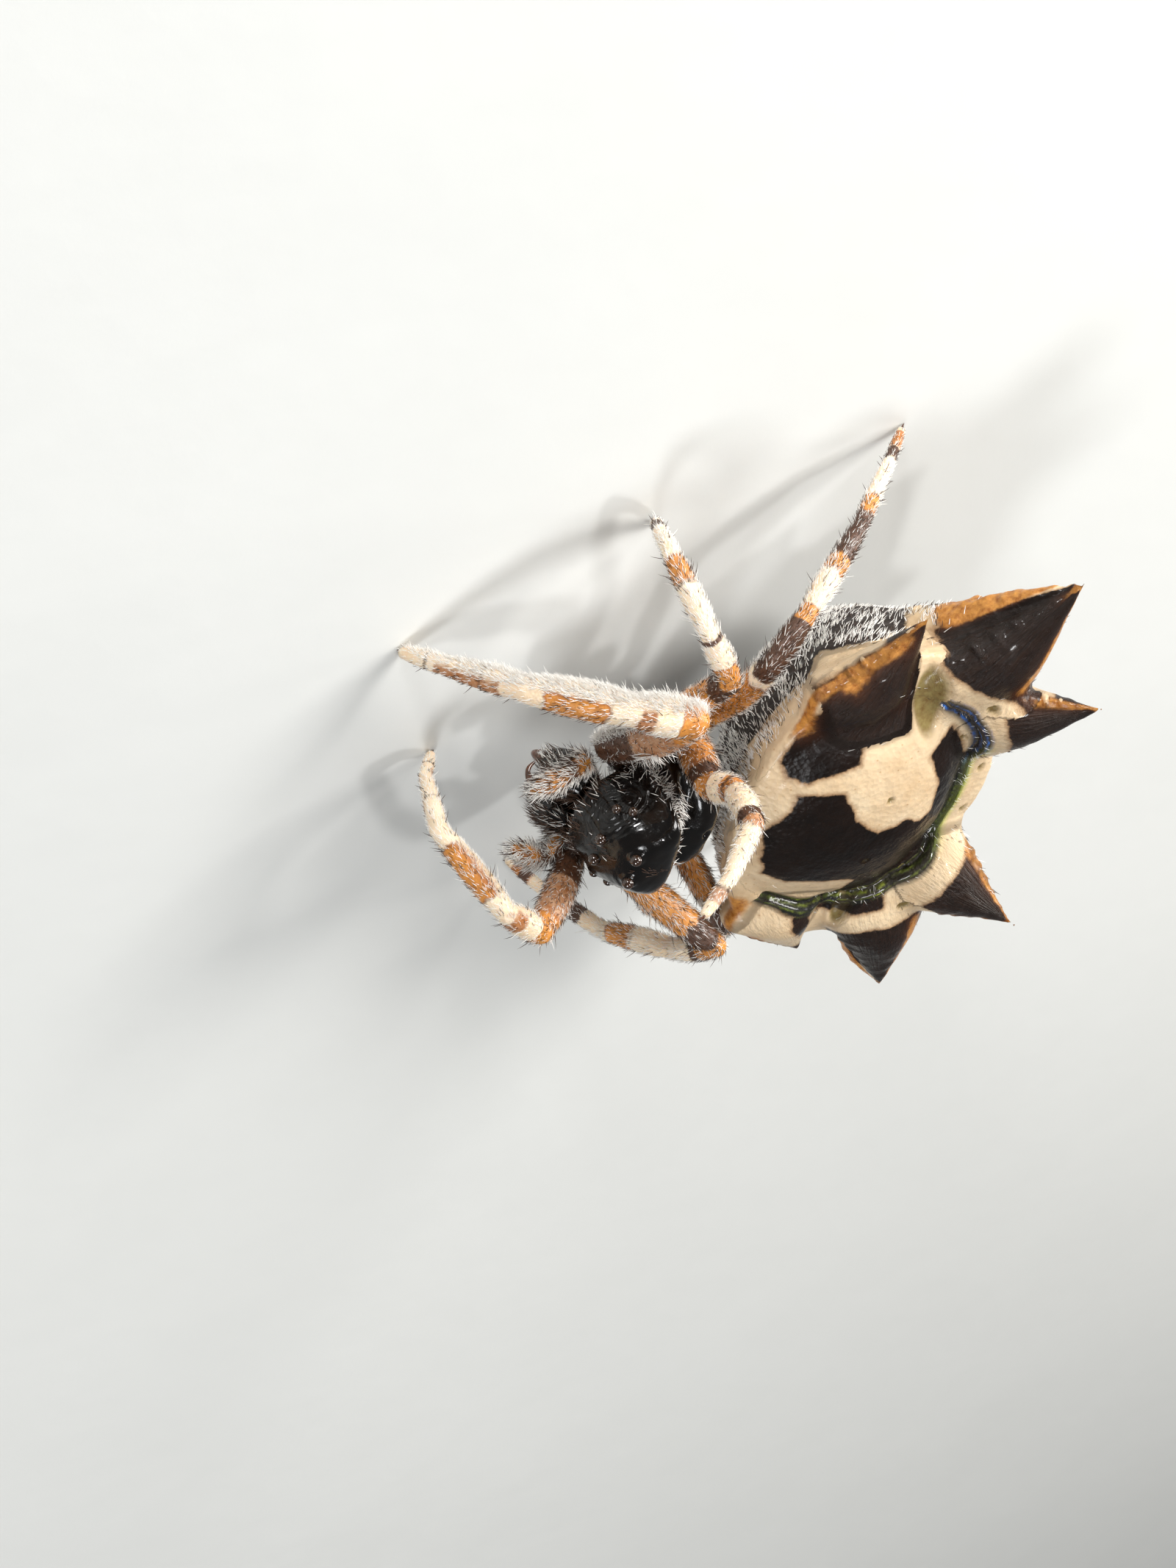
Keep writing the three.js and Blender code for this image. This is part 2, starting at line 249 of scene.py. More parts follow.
def lay_tube(blank, points, radii):
    """A copy of the blank along a line, with radii at even steps of it and rounded ends."""
    line = smooth_line(points)
    steps = np.linalg.norm(np.diff(line, axis=0), axis=1)
    reach = np.concatenate([[0], np.cumsum(steps)])
    length = reach[-1]
    heading = unit(np.gradient(line, reach, axis=0))
    piece = copy_of(blank)
    co = points_of(piece)
    first, last = radii[0], radii[-1]
    place = (co[:, 2] + 0.5) * (length + first + last) - first
    past_start, past_end = -place / max(first, 1e-6), (place - length) / max(last, 1e-6)
    over = np.maximum(np.maximum(past_start, past_end), 0)
    inside = np.clip(place, 0, length)
    swell = np.interp(inside / length, np.linspace(0, 1, len(radii)), radii)
    swell = swell * np.sqrt(np.clip(1 - over**2, 0.0004, 1))
    ahead = unit(along_line(heading, reach, inside))
    middle = along_line(line, reach, inside) + ahead * (place - inside)[:, None]
    side = unit(np.cross(np.broadcast_to(ODD_DIRECTION, ahead.shape), ahead))
    up = np.cross(ahead, side)
    turned = side * (co[:, 0] * swell)[:, None] + up * (co[:, 1] * swell)[:, None]
    set_points(piece, middle + turned)
    return piece


# %% [markdown]
# ## The legs' lines
# The knee and foot of each leg are known, and so are the lengths of the patella, tibia, metatarsus and
# tarsus. These bend in one plane by fixed shares, so one angle is searched for at which the chain just
# reaches. Seven legs stand on the floor, and the third right leg is held up beside the back.

# %% Lengths and poses
# a row for each pair: patella, tibia, metatarsus and tarsus
SEGMENTS = [[0.95, 1.75, 1.4, 0.9], [0.9, 1.5, 1.3, 0.85], [0.65, 1, 1, 0.7], [0.95, 1.85, 1.85, 0.85]]
HIPS = [(1.0, 1.2), (0.38, 1.5), (-0.3, 1.5), (-0.95, 1.25)]
HIP_HEIGHT = -0.66
# a row for each leg: its knee, its foot and where its bend points. A foot with no height is on the floor.
POSES = {
    "right": [
        ((0.93, -3.1, 0.8), (3.99, -2.24, None), (0.5, -0.55, 0.75)),
        ((0.21, -3.6, 0.6), (-0.42, -3.9, None), (0.58, -0.69, 0.42)),
        ((0.2, -1.55, 0.95), (1.75, -1.42, 3.2), (-0.1, -0.6, 0.75)),
        ((-1.07, -3.14, 0.15), (-5.23, -4.84, None), (0.35, -0.63, 0.63)),
    ],
    "left": [
        ((2.5, 1.35, 0.7), (2.85, 0.4, None), (0.62, -0.33, 0.8)),
        ((-1.2, 2.6, 1.15), (0.38, 3.81, None), (-0.67, 1.68, 2.19)),
        ((-0.6, 2.6, -0.1), (-1.4, 3.35, None), (-0.8, 0.8, 0.3)),
        ((-2.0, 3.0, 0.15), (-5.6, 4.3, None), (0, 1, 0.4)),
    ],
}
FOOT_CLEARANCE = 0.085
TURN_SHARES = [0.75, 1, 0.35, 0]
WIDEST_BEND = 1.6
HALVINGS = 40


# %% Bending a leg until it reaches
def chain(lengths, bend):
    spots, heading = [np.zeros(2)], 0.0
    for length, share in zip(lengths, TURN_SHARES):
        spots.append(spots[-1] + length * np.array([math.cos(heading), math.sin(heading)]))
        heading -= bend * share
    return np.array(spots)


def lower_leg(knee, tip, lengths, bow):
    chord = tip - knee
    straighter, tighter = 0.0, WIDEST_BEND
    for _ in range(HALVINGS):
        bend = (straighter + tighter) / 2
        if np.linalg.norm(chain(lengths, bend)[-1]) > np.linalg.norm(chord):
            straighter = bend
        else:
            tighter = bend
    flat = chain(lengths, straighter)
    span = np.linalg.norm(flat[-1])
    end = flat[-1] / span
    ahead = unit(chord)
    outward = unit(bow - ahead * (bow @ ahead))
    along, aside = flat @ end, flat[:, 1] * end[0] - flat[:, 0] * end[1]
    return knee + np.outer(along * (np.linalg.norm(chord) / span), ahead) + np.outer(aside, outward)


# %% All legs' joints
legs = {}
for side, sign in (("right", -1), ("left", 1)):
    for pair, (knee, foot, bow) in enumerate(POSES[side]):
        hip = np.array([HIPS[pair][0], HIPS[pair][1] * sign, HIP_HEIGHT])
        start = np.array([hip[0] * 0.5, hip[1] * 0.5, HIP_HEIGHT - 0.06])
        tip = np.array([foot[0], foot[1], FLOOR + FOOT_CLEARANCE if foot[2] is None else foot[2]])
        lower = lower_leg(np.array(knee), tip, SEGMENTS[pair], np.array(bow, float))
        legs[side, pair] = np.array([start, hip, *lower])
print("legs:", {f"{s} {p + 1}": round(float(np.ptp(j[:, 2])), 2) for (s, p), j in legs.items()}, "mm high")

# %% [markdown]
# ## The soft parts' skin
# Coxae, legs, palps, breastplate, mouthparts and the narrow waist are one skin on the real animal. They
# could be box-modelled as one cage, but the legs cross in many directions, so it is simpler to lay out
# closed pieces that pass into each other and to let one voxel remesh close them into a single skin.

# %% Segments of the legs
LEG_SIZE = {"right": [1.6, 1.02, 1.25, 1.05], "left": [1.2, 1.22, 1.0, 1.02]}
# radii along the coxa, femur, patella, tibia, metatarsus and tarsus
PROFILES = [
    [0.2, 0.235, 0.19],
    [0.17, 0.205, 0.235, 0.225, 0.175],
    [0.165, 0.2, 0.195, 0.155],
    [0.15, 0.185, 0.175, 0.135],
    [0.125, 0.135, 0.12, 0.1],
    [0.09, 0.1, 0.09, 0.07],
]
COXA, FEMUR = 0, 1
FEMUR_RISE = 0.06
soft_parts = []
for (side, pair), joints in legs.items():
    for number, profile in enumerate(PROFILES):
        size = 1.0 if number == COXA else LEG_SIZE[side][pair]
        ends = joints[number : number + 2]
        middle = ends.mean(axis=0)
        if number == FEMUR:
            middle = middle + [0, 0, FEMUR_RISE]
        soft_parts.append(lay_tube(limb_blank, [ends[0], middle, ends[1]], [r * size for r in profile]))
print(len(soft_parts), "segments")

# %% Palps, breastplate, mouthparts and waist
PALP = np.array([(1.16, 0.62, -0.88), (1.52, 1.02, -0.62), (1.88, 1.0, -0.48), (2.4, 0.7, -0.57)])
PALP_RADII = [[0.12, 0.16, 0.14], [0.13, 0.165, 0.15], [0.14, 0.185, 0.17, 0.1]]
WAIST, WAIST_RADII = [(-0.75, 0, -0.66), (-1.4, 0, -0.6), (-2.3, 0, -0.42)], [0.2, 0.17, 0.24]
# middle, half size and how much it narrows to the front: the breastplate and the mouthparts
PLATES = [((-0.05, 0, -0.69), (0.8, 0.58, 0.31), 0.25), ((0.98, 0, -0.9), (0.24, 0.4, 0.22), 0)]
for sign in (-1, 1):
    palp = PALP * [1, sign, 1]
    for k, radii in enumerate(PALP_RADII):
        soft_parts.append(lay_tube(limb_blank, palp[k : k + 2], radii))
for middle, half, narrowing in PLATES:
    plate = add_sphere(36, 24)
    spots = points_of(plate)
    spots[:, 1] *= 1 - narrowing * spots[:, 0]
    set_points(plate, spots * half + middle)
    soft_parts.append(plate)
soft_parts.append(lay_tube(limb_blank, WAIST, WAIST_RADII))
skin = join(soft_parts, "skin")
fuse(skin, voxel=0.037, ease=4)

# %% [markdown]
# ## Bands on the legs
# Each leg is ringed in cream, orange-brown and near-black, and each pair has its own rings. A place on
# a leg is counted in joints: 1 at the hip, 2 at the knee, up to 6 at the tip. Every point of the skin
# looks up the nearest place on a leg's line and is given how dark and how orange it is there.

# %% Places along the legs
PLACES_PER_SEGMENT = 60
line_spots, line_places, line_legs, line_heads = [], [], [], []
for index, joints in enumerate(legs.values()):
    for number in range(len(PROFILES)):
        for t in np.linspace(0, 1, PLACES_PER_SEGMENT, endpoint=False):
            line_spots.append(joints[number] * (1 - t) + joints[number + 1] * t)
            line_places.append(number + t)
            line_legs.append(index)
            line_heads.append(joints[number + 1] - joints[number])
line_spots, line_places, line_legs = map(np.array, (line_spots, line_places, line_legs))
line_heads = unit(np.array(line_heads))
leg_tree = KDTree(len(line_spots))
for number, spot in enumerate(line_spots):
    leg_tree.insert(spot, number)
leg_tree.balance()
print(len(line_spots), "places along the legs")


def nearest_place(points):
    """The nearest place's number for each point, and how far away it is."""
    found = [leg_tree.find(p) for p in points]
    return np.array([f[1] for f in found]), np.array([f[2] for f in found])


# %% Rings of colour
# place, half width and strength of each ring
ORANGE_RINGS = [
    [(1.5, 0.45, 0.55), (2.06, 0.2, 1), (2.84, 0.15, 0.6), (3.52, 0.3, 1), (4.72, 0.5, 0.6)],
    [(1.5, 0.5, 0.9), (2.1, 0.24, 1), (3.75, 0.15, 1), (5.25, 0.15, 0.6)],
    [(1.35, 0.45, 0.9), (2.05, 0.22, 1), (2.95, 0.12, 0.9), (4.05, 0.16, 0.9), (5.5, 0.3, 0.8)],
    [(1.4, 0.4, 0.9), (3.0, 0.1, 1), (3.6, 0.1, 0.9), (4.3, 0.12, 0.9), (5.6, 0.3, 0.7)],
    [(1.35, 0.45, 0.8), (2.05, 0.25, 1), (2.9, 0.16, 0.8), (4.0, 0.08, 0.6), (5.5, 0.2, 0.5)],
    [(1.5, 0.5, 0.9), (2.1, 0.24, 1), (3.72, 0.16, 1), (4.75, 0.16, 0.9), (5.6, 0.25, 0.7)],
]
DARK_RINGS = [
    [(0.95, 0.5, 0.9), (1.96, 0.03, 0.6), (3.21, 0.025, 0.62), (4.5, 0.035, 0.6), (5.4, 0.06, 0.55)],
    [(1.9, 0.08, 0.9), (2.9, 0.06, 0.8), (3.57, 0.03, 0.65), (4.82, 0.11, 1), (5.85, 0.12, 0.9)],
    [(1.86, 0.1, 1), (2.9, 0.06, 0.7), (3.86, 0.13, 1), (5.02, 0.14, 1)],
    [(2.4, 0.52, 1), (3.93, 0.27, 1), (5.12, 0.17, 1)],
    [(1.88, 0.07, 0.9), (2.86, 0.06, 0.7), (3.84, 0.1, 0.9), (5.3, 0.06, 0.6)],
    [(1.86, 0.1, 1), (2.4, 0.09, 0.9), (3.52, 0.03, 0.6), (4.5, 0.17, 1), (5.5, 0.12, 1)],
]
# the row of rings on each leg: four on the right, then four on the left
RING_ROWS = np.array([0, 1, 4, 3, 0, 5, 2, 3])
FRONT_ROW = 0
RING_SOFTNESS = 0.05
# up and to the left, square to the right front leg: the outer side of that leg is furrier and paler, partly
# white hair and partly painted rim light
INWARD = np.array([0.0, 0.72, 0.69])


def ring_strength(rings, place, row_of):
    total = np.zeros(len(place))
    for number, row in enumerate(rings):
        for middle, half, strength in row:
            off = np.abs(place - middle) - half
            inside = 1 - ease_step(off, -RING_SOFTNESS, RING_SOFTNESS)
            total = np.maximum(total, (row_of == number) * strength * inside)
    return total


def inward_of(points, found):
    """How far each point lies inward of its leg's line, in millimetres."""
    return (points - line_spots[found]) @ INWARD


def marks_on_limbs(points):
    """How orange and how dark points of the soft parts are, and their nearest places."""
    found, off = nearest_place(points)
    place, row_of = line_places[found], RING_ROWS[line_legs[found]]
    waver = rough(points, 5) * 0.05
    orange = ring_strength(ORANGE_RINGS, place + waver, row_of)
    dark = ring_strength(DARK_RINGS, place + waver, row_of)
    # orange fades on the outer side of the right front leg: partly its white hair, partly painted rim light
    # on that side
    lit_pale_side = (row_of == FRONT_ROW) & (place > 2.3)
    orange = orange * np.where(lit_pale_side, ease_step(inward_of(points, found) / 0.2, -0.75, 0.15), 1)
    body = (off > 0.42) | (place < 0.5)
    x = points[:, 0]
    palp = body & (x > 1.1)
    orange = np.where(body, 0.9, orange)
    dark = np.where(body & ~palp, 0.85, dark)
    dark = np.where(palp, 0.75 * bell(x - 1.85, 0.2) + 0.5 * (x > 2.2), dark)
    return orange, dark, found


orange, dark, _ = marks_on_limbs(points_of(skin))
store(skin, "orange", orange)
store(skin, "dark", dark)
print("share of the skin that is dark:", round(float((dark > 0.5).mean()), 2))

# %% [markdown]
# ## The carapace
# The front of the body is covered by one hard black shield with a high blunt head and a lower dome
# behind it, parted by a groove. It is a sphere whose points are moved by the same function as the
# solid's, with finer furrows that only show at this density.

# %% Shape of the carapace
CARAPACE = dict(middle=0.12, half=1.52, thorax=1.28, head=0.98, underside=-0.34)
# middle, height, reach and flatness of the head and of the dome behind it
HUMPS = [(0.9, 1.48, 0.88, 4), (-0.42, 1.12, 0.72, 2)]


def carapace_height(x):
    humps = [h * np.exp(-(np.abs((x - at) / reach) ** flat)) for at, h, reach, flat in HUMPS]
    return (humps[0] ** 4 + humps[1] ** 4) ** 0.25


def carapace_point(turn, spread, up):
    """The place of a direction round the shield, from its middle (spread 0) to its margin (1)."""
    turn, spread, up = (np.asarray(v, float) for v in (turn, spread, up))
    square = np.where(np.cos(turn) > 0, 0.7, 0.9)
    ahead = np.sign(np.cos(turn)) * np.abs(np.cos(turn)) ** square * spread
    aside = np.sign(np.sin(turn)) * np.abs(np.sin(turn)) ** square * spread
    x = CARAPACE["middle"] + CARAPACE["half"] * ahead
    to_head = ease_step(x, 0.05, 0.95)
    half_width = CARAPACE["thorax"] * (1 - to_head) + CARAPACE["head"] * to_head
    steep = 3 + 4 * to_head
    rise = up * np.sqrt(np.clip(1 - spread**steep, 0, 1)) * carapace_height(x)
    return np.stack([x, half_width * aside, CARAPACE["underside"] + rise], -1)


def sphere_places(piece):
    """Direction, spread and upper or lower half of each point of a round blank."""
    x, y, z = points_of(piece).T
    down = np.arccos(np.clip(z, -1, 1)) / (math.pi / 2)
    return np.arctan2(y, x), np.minimum(down, 2 - down), down <= 1 + 1e-6


# %% Carapace piece
CHEEK_AT, CHEEK_REACH = np.array([1.25, 0.7, 0.1]), np.array([0.45, 0.4, 0.5])
CHEEK_FOLDS = dict(spacing=0.17, depth=0.032)
carapace = add_sphere(192, 150)
carapace.name = carapace.data.name = "carapace_shield"
set_points(carapace, carapace_point(*sphere_places(carapace)))
apply_modifier(carapace, "SMOOTH", factor=0.5, iterations=6)
print("carapace:", np.ptp(points_of(carapace), axis=0).round(2), "mm")


def groove_line(x, y):
    """How far ahead of the groove between head and dome a point lies."""
    return x - (0.2 + 0.25 * np.abs(y))


# %% Groove, furrows and folds of the carapace
spots, out = points_of(carapace), normals_of(carapace)
x, y, z = spots.T
top = ease_step(z, -0.2, 0.1)
groove = 0.1 * bell(groove_line(x, y), 0.1) * ease_step(np.abs(y), 0.1, 0.5)
pit = 0.1 * bell(np.hypot((x + 0.42) / 0.7, y), 0.1)
turn = np.arctan2(y, -(x + 0.3))
rays = 0.02 * np.cos(turn * 9) * ease_step(np.hypot(x + 0.3, y), 0.3, 0.8) * (x < 0.1)
folds = 0.03 * rough(spots, 1.6) + 0.006 * rough(spots, 6.5, 4)
from_cheek = (np.stack([x, np.abs(y), z], 1) - CHEEK_AT) / CHEEK_REACH
across = (0.25 * x + 0.68 * np.abs(y) - 0.68 * z) * 2 * math.pi / CHEEK_FOLDS["spacing"]
ripple = np.sin(across + 3 * rough(spots, 1.3, 6))
folds += CHEEK_FOLDS["depth"] * bell(np.linalg.norm(from_cheek, axis=1), 1) * ripple
rim = 0.02 * bell(z - CARAPACE["underside"], 0.07)
set_points(carapace, spots + out * (top * (folds - groove - pit - rays) + rim)[:, None])
print("deepest groove and pit:", groove.max().round(2), pit.max().round(2), "mm")

# %% [markdown]
# ## Eyes, jaws, fangs and claws
# An orb weaver has eight small eyes: four in a square in front and a pair at each side of the head. Each
# is a shiny bead standing a little out of the shield. The jaws hang below the head and the fangs fold in
# at their ends. Each walking leg ends in a pair of hooked claws.

# %% Eyes
# name, degrees from straight ahead, spread on the shield and radius
EYES = [
    ("front_middle", 8, 0.93, 0.1),
    ("rear_middle", 13, 0.76, 0.1),
    ("front_side", 42, 0.97, 0.08),
    ("rear_side", 52, 0.95, 0.08),
]
EYE_STAND_OUT = 0.45
EYE_MOUND = 0.035


def on_carapace(turn, spread, lift):
    """A point at a height over the shield."""
    point = carapace_point(turn, spread, 1)
    outward = carapace_point(turn, spread - 0.02, 1) - point
    sideways = carapace_point(turn + 0.02, spread, 1) - point
    return point + unit(np.cross(-outward, sideways)) * lift


beads, mounds = [], []
for name, turn, spread, radius in EYES:
    middle = on_carapace(math.radians(turn), spread, radius * EYE_STAND_OUT)
    for sign in (-1, 1):
        bead = add_sphere(32, 20, radius)
        set_points(bead, points_of(bead) + middle * [1, sign, 1])
        beads.append(bead)
        mounds.append((middle * [1, sign, 1], radius))
eyes = join(beads, "eyes")
spots, out = points_of(carapace), normals_of(carapace)
for middle, radius in mounds:
    off = np.linalg.norm(spots - middle, axis=1)
    spots += out * (EYE_MOUND * bell(off - radius * 1.15, radius * 0.35))[:, None]
set_points(carapace, spots)
print("eyes:", len(beads))

# %% Jaws and fangs
JAW = dict(at=np.array([1.42, 0.4, -0.95]), half=(0.4, 0.36, 0.56), lean=0.16, narrowing=0.22)
FANG = np.array([(1.62, 0.3, -1.46), (1.57, 0.2, -1.72), (1.32, 0.1, -1.82)])
FANG_RADII = [0.085, 0.06, 0.035, 0.01]
jaw_pair, fang_pair = [], []
for sign in (-1, 1):
    jaw = add_sphere(64, 48)
    spots = points_of(jaw)
    spots[:, :2] *= (1 - JAW["narrowing"] * ease_step(-spots[:, 2], 0.1, 1))[:, None]
    spots *= JAW["half"]
    c, s = math.cos(JAW["lean"]), math.sin(JAW["lean"])
    x, z = spots[:, 0].copy(), spots[:, 2].copy()
    spots[:, 0], spots[:, 2] = x * c - z * s, x * s + z * c
    spots += JAW["at"] * [1, sign, 1]
    spots += normals_of(jaw) * (0.02 * rough(spots, 5) + 0.02 * rough(spots, 2))[:, None]
    set_points(jaw, spots)
    jaw_pair.append(jaw)
    fang_pair.append(lay_tube(fine_blank, FANG * [1, sign, 1], FANG_RADII))
jaws = join(jaw_pair, "jaws")
fangs = join(fang_pair, "fangs")
apply_modifier(fangs, "SUBSURF", levels=1, render_levels=1)
print("jaws and fangs:", len(jaws.data.polygons), "and", len(fangs.data.polygons), "faces")

# %% Claws
CLAW_RADII = [0.026, 0.02, 0.006]
CLAW_CLEARANCE = 0.012
hooks = []
for joints in legs.values():
    tip = joints[-1]
    ahead = unit(tip - joints[-2])
    held_up = tip[2] >= 0
    down = -ahead * 0.2 + [0.6, 0, -0.5] if held_up else np.array([0, 0, -1.0])
    aside = unit(np.cross(ahead, down))
    for sign in (-1, 1):
        root = tip - ahead * 0.02 + aside * sign * 0.03
        bent = root + ahead * 0.1 + aside * sign * 0.03
        end = root + ahead * 0.14 + aside * sign * 0.035 + down * 0.06
        line = [np.array([p[0], p[1], max(p[2], FLOOR + CLAW_CLEARANCE)]) for p in (root, bent, end)]
        hooks.append(lay_tube(fine_blank, line, CLAW_RADII))
claws = join(hooks, "claws")
print("claws:", len(hooks))

# %% [markdown]
# ## The abdomen
# The back of the body is one hard, wide shell: a low disc on top, a crease round it, a flange beyond, and
# six spines that grow out of the flange. A cage could give the spines but not the folds, so closed
# pieces are fused, the seams between them are eased, and the details are pushed in point by point.

# %% Main form
SHIELD = dict(middle=-4.0, front=2.85, back=2.1, side=3.42, roundness=2.3, rim=0.98, slope=-0.13)
BELLY = dict(apex_x=-4.25, apex_z=-2.2, fullness=1.7, flank=0.52)
DISC = dict(at=-3.5, front=2.25, back=1.78, right=2.45, left=2.15, square=2.3, edge=0.16, crown=0.62)


def rim_height(x):
    return SHIELD["rim"] + SHIELD["slope"] * (x - SHIELD["middle"])


def rim_radius(turn):
    lengthwise = np.abs(np.cos(turn)) / np.where(np.cos(turn) > 0, SHIELD["front"], SHIELD["back"])
    crosswise = np.abs(np.sin(turn)) / SHIELD["side"]
    n = SHIELD["roundness"]
    return (lengthwise**n + crosswise**n) ** (-1 / n)


def disc_share(x, y):
    """0 in the middle of the disc on the back, 1 at the crease round it."""
    length = np.where(x > DISC["at"], DISC["front"], DISC["back"])
    width = np.where(y < 0, DISC["right"], DISC["left"])
    n = DISC["square"]
    return (np.abs((x - DISC["at"]) / length) ** n + np.abs(y / width) ** n) ** (1 / n)


def back_height(x, y, spread):
    inner = DISC["crown"] * (1 - np.clip(disc_share(x, y), 0, 1) ** 2.4)
    outer = DISC["edge"] * np.sqrt(np.clip(1 - spread**6, 0, 1))
    return rim_height(x) + outer + inner


def abdomen_point(turn, spread, up):
    down_share = 1 - spread ** BELLY["fullness"]
    reach = rim_radius(turn) * np.where(up, spread, spread ** BELLY["flank"])
    to_apex = SHIELD["middle"] * (1 - down_share) + BELLY["apex_x"] * down_share
    middle = np.where(up, SHIELD["middle"], to_apex)
    x, y = middle + reach * np.cos(turn), reach * np.sin(turn)
    below = rim_height(x) * (1 - down_share) + BELLY["apex_z"] * down_share
    return np.stack([x, y, np.where(up, back_height(x, y, spread), below)], -1)


body = add_sphere(160, 120)
set_points(body, abdomen_point(*sphere_places(body)))
print("abdomen without spines:", np.ptp(points_of(body), axis=0).round(2), "mm")

# %% Where the spines stand
# base, tip on the right and on the left, radius at the base
SPINES = [
    ("middle", (-4.9, 2.6, 1.1), (-5.88, 4.97, 1.6), (-5.6, 5.05, 1.43), 1.15),
    ("back", (-5.3, 1.75, 1.3), (-6.8, 2.53, 2.35), (-6.92, 2.65, 2.62), 0.98),
    ("front", (-2.7, 2.35, 0.7), (-3.5, 4.15, 0.8), (-3.45, 3.65, 1.05), 1.0),
]
MIDDLE_SPINES = 2
SPINE_SLIMMING, SPINE_TAPER = 0.97, 1.12
spines = []
for name, base, right_tip, left_tip, radius in SPINES:
    for side, sign, tip in (("right", -1, right_tip), ("left", 1, left_tip)):
        foot, end = np.array(base) * [1, sign, 1], np.array(tip) * [1, sign, 1]
        length = np.linalg.norm(end - foot)
        ahead = (end - foot) / length
        up = unit(np.array([0, 0, 1.0]) - ahead * ahead[2])
        spine = dict(name=f"{side} {name}", foot=foot, end=end, length=length, ahead=ahead, up=up)
        spines.append(spine | dict(aside=np.cross(up, ahead) * sign, radius=radius * SPINE_SLIMMING))


def spine_width(spine, share):
    return spine["radius"] * np.clip(1 - share, 0, 1.2) ** SPINE_TAPER


print("spines:", {s["name"]: round(float(s["length"]), 2) for s in spines}, "mm long")

# %% Spines, the webs under the middle ones, and spinnerets
SUNK = 0.42
SPINE_FLATNESS = 0.84
# ahead of the belly's lowest point, beside it, and radius
SPINNERETS = [(0.17, 0.12, 0.13), (-0.17, 0.14, 0.12), (0, 0.06, 0.07)]
# the underside of a middle spine is fuller than a cone
WEB = [
    (-4.2, -1.4, -0.1), (-4.41, -2.39, 0.06), (-4.83, -3.34, 0.6), (-5.25, -4.25, 1.05), (-5.8, -4.9, 1.53),
]
WEB_RADII = [0.9, 0.8, 0.5, 0.22, 0.02]
parts = [body]
for spine in spines:
    piece = copy_of(spine_blank)
    x, y, z = points_of(piece).T
    share = (1 + SUNK) * (z + 0.5) ** 0.9 - SUNK
    sunk = np.sqrt(np.clip(1 - (np.minimum(share, 0) / SUNK) ** 2, 0, 1))
    width = np.maximum(spine_width(spine, np.maximum(share, 0)) * sunk, 0.012)
    turn = np.arctan2(y, x)
    keel = 1 + 0.12 * np.cos(turn) ** 8
    span = np.hypot(x, y) * width * keel
    upper_side = SPINE_FLATNESS * (0.5 + 0.5 * ease_step(share, -0.15, 0.45))
    flat = np.where(turn > 0, upper_side, SPINE_FLATNESS)
    spots = spine["foot"] + np.outer(share * spine["length"], spine["ahead"])
    across = np.outer(span * np.cos(turn), spine["aside"])
    spots += across + np.outer(span * np.sin(turn) * flat, spine["up"])
    set_points(piece, spots)
    parts.append(piece)
for ahead, aside, radius in SPINNERETS:
    for sign in (-1, 1):
        root = np.array([BELLY["apex_x"] + ahead, sign * aside, BELLY["apex_z"] + 0.25])
        end = root + [ahead * 0.3, sign * aside * 0.2, -0.42]
        parts.append(lay_tube(limb_blank, [root, (root + end) / 2, end], [radius, radius, radius * 0.6]))
for spine in spines[:MIDDLE_SPINES]:
    line = np.array(WEB) * [1, 1 if spine["end"][1] < 0 else -1, 1]
    line[-2:] += (spine["end"] - spine["ahead"] * 0.1 - line[-1]) * [[0.7], [1]]
    parts.append(lay_tube(limb_blank, line, WEB_RADII))
abdomen = join(parts, "abdomen")
fuse(abdomen, voxel=0.044, ease=2)


# %% Where each point lies on a spine
def spine_places(points):
    """For each point: its weight on the nearest spine, its share along, over and beside it, its number."""
    best = np.full(len(points), 9.0)
    result = np.zeros((len(points), 5))
    for number, spine in enumerate(spines):
        off = points - spine["foot"]
        share = off @ spine["ahead"] / spine["length"]
        rest = off - np.outer(share * spine["length"], spine["ahead"])
        width = np.maximum(spine_width(spine, np.clip(share, 0, 1)), 0.1)
        over, beside = rest @ spine["up"] / width, rest @ spine["aside"] / width
        far = np.hypot(over, beside) + 2 * np.clip(0.05 - share, 0, 1)
        closer = far < best
        best = np.where(closer, far, best)
        row = [1 - ease_step(far, 1.02, 1.35), share, over, beside, np.full(len(points), number)]
        result[closer] = np.stack(row, 1)[closer]
    return (*result.T[:4], result[:, 4].astype(int))


def of_spine(key, number):
    return np.array([spine[key] for spine in spines])[number]


spots = points_of(abdomen)
_, share, *_ = spine_places(spots)
base_zone = (1 - ease_step(share, 0.22, 0.42)) * ease_step(spots[:, 1] ** 2, 0.1, 0.5)
group = abdomen.vertex_groups.new(name="bases")
for index, weight in enumerate(base_zone):
    if weight > 0.05:
        group.add([index], float(weight), "REPLACE")
apply_modifier(abdomen, "SMOOTH", factor=0.5, iterations=60, vertex_group="bases")
abdomen.vertex_groups.clear()
print("points eased round the spines:", int((base_zone > 0.05).sum()))

# %% [markdown]
# ## Details of the shell
# Round the disc runs a sharp crease with fine folds beside it. Oval pits mark where muscles hold the
# shell from inside. The edges of the spines carry small knobs, and the flanks are wrinkled. All this is
# a push along the normal that depends only on where a point is, so it is the same each time.

# %% Pits
# x, y, half length, half width, turn in degrees, and how large its twin on the left is
PITS = [
    (-3.85, 2.5, 0.7, 0.26, 82, 0.5),
    (-3.41, 0.72, 0.07, 0.06, 0, 1),
    (-4.8, 1.6, 0.07, 0.06, 0, 1),
    (-4.95, 2.4, 0.12, 0.09, 30, 1),
    (-5.75, 0.5, 0.1, 0.07, 80, 1),
]
PIT_FLOOR = 0.6


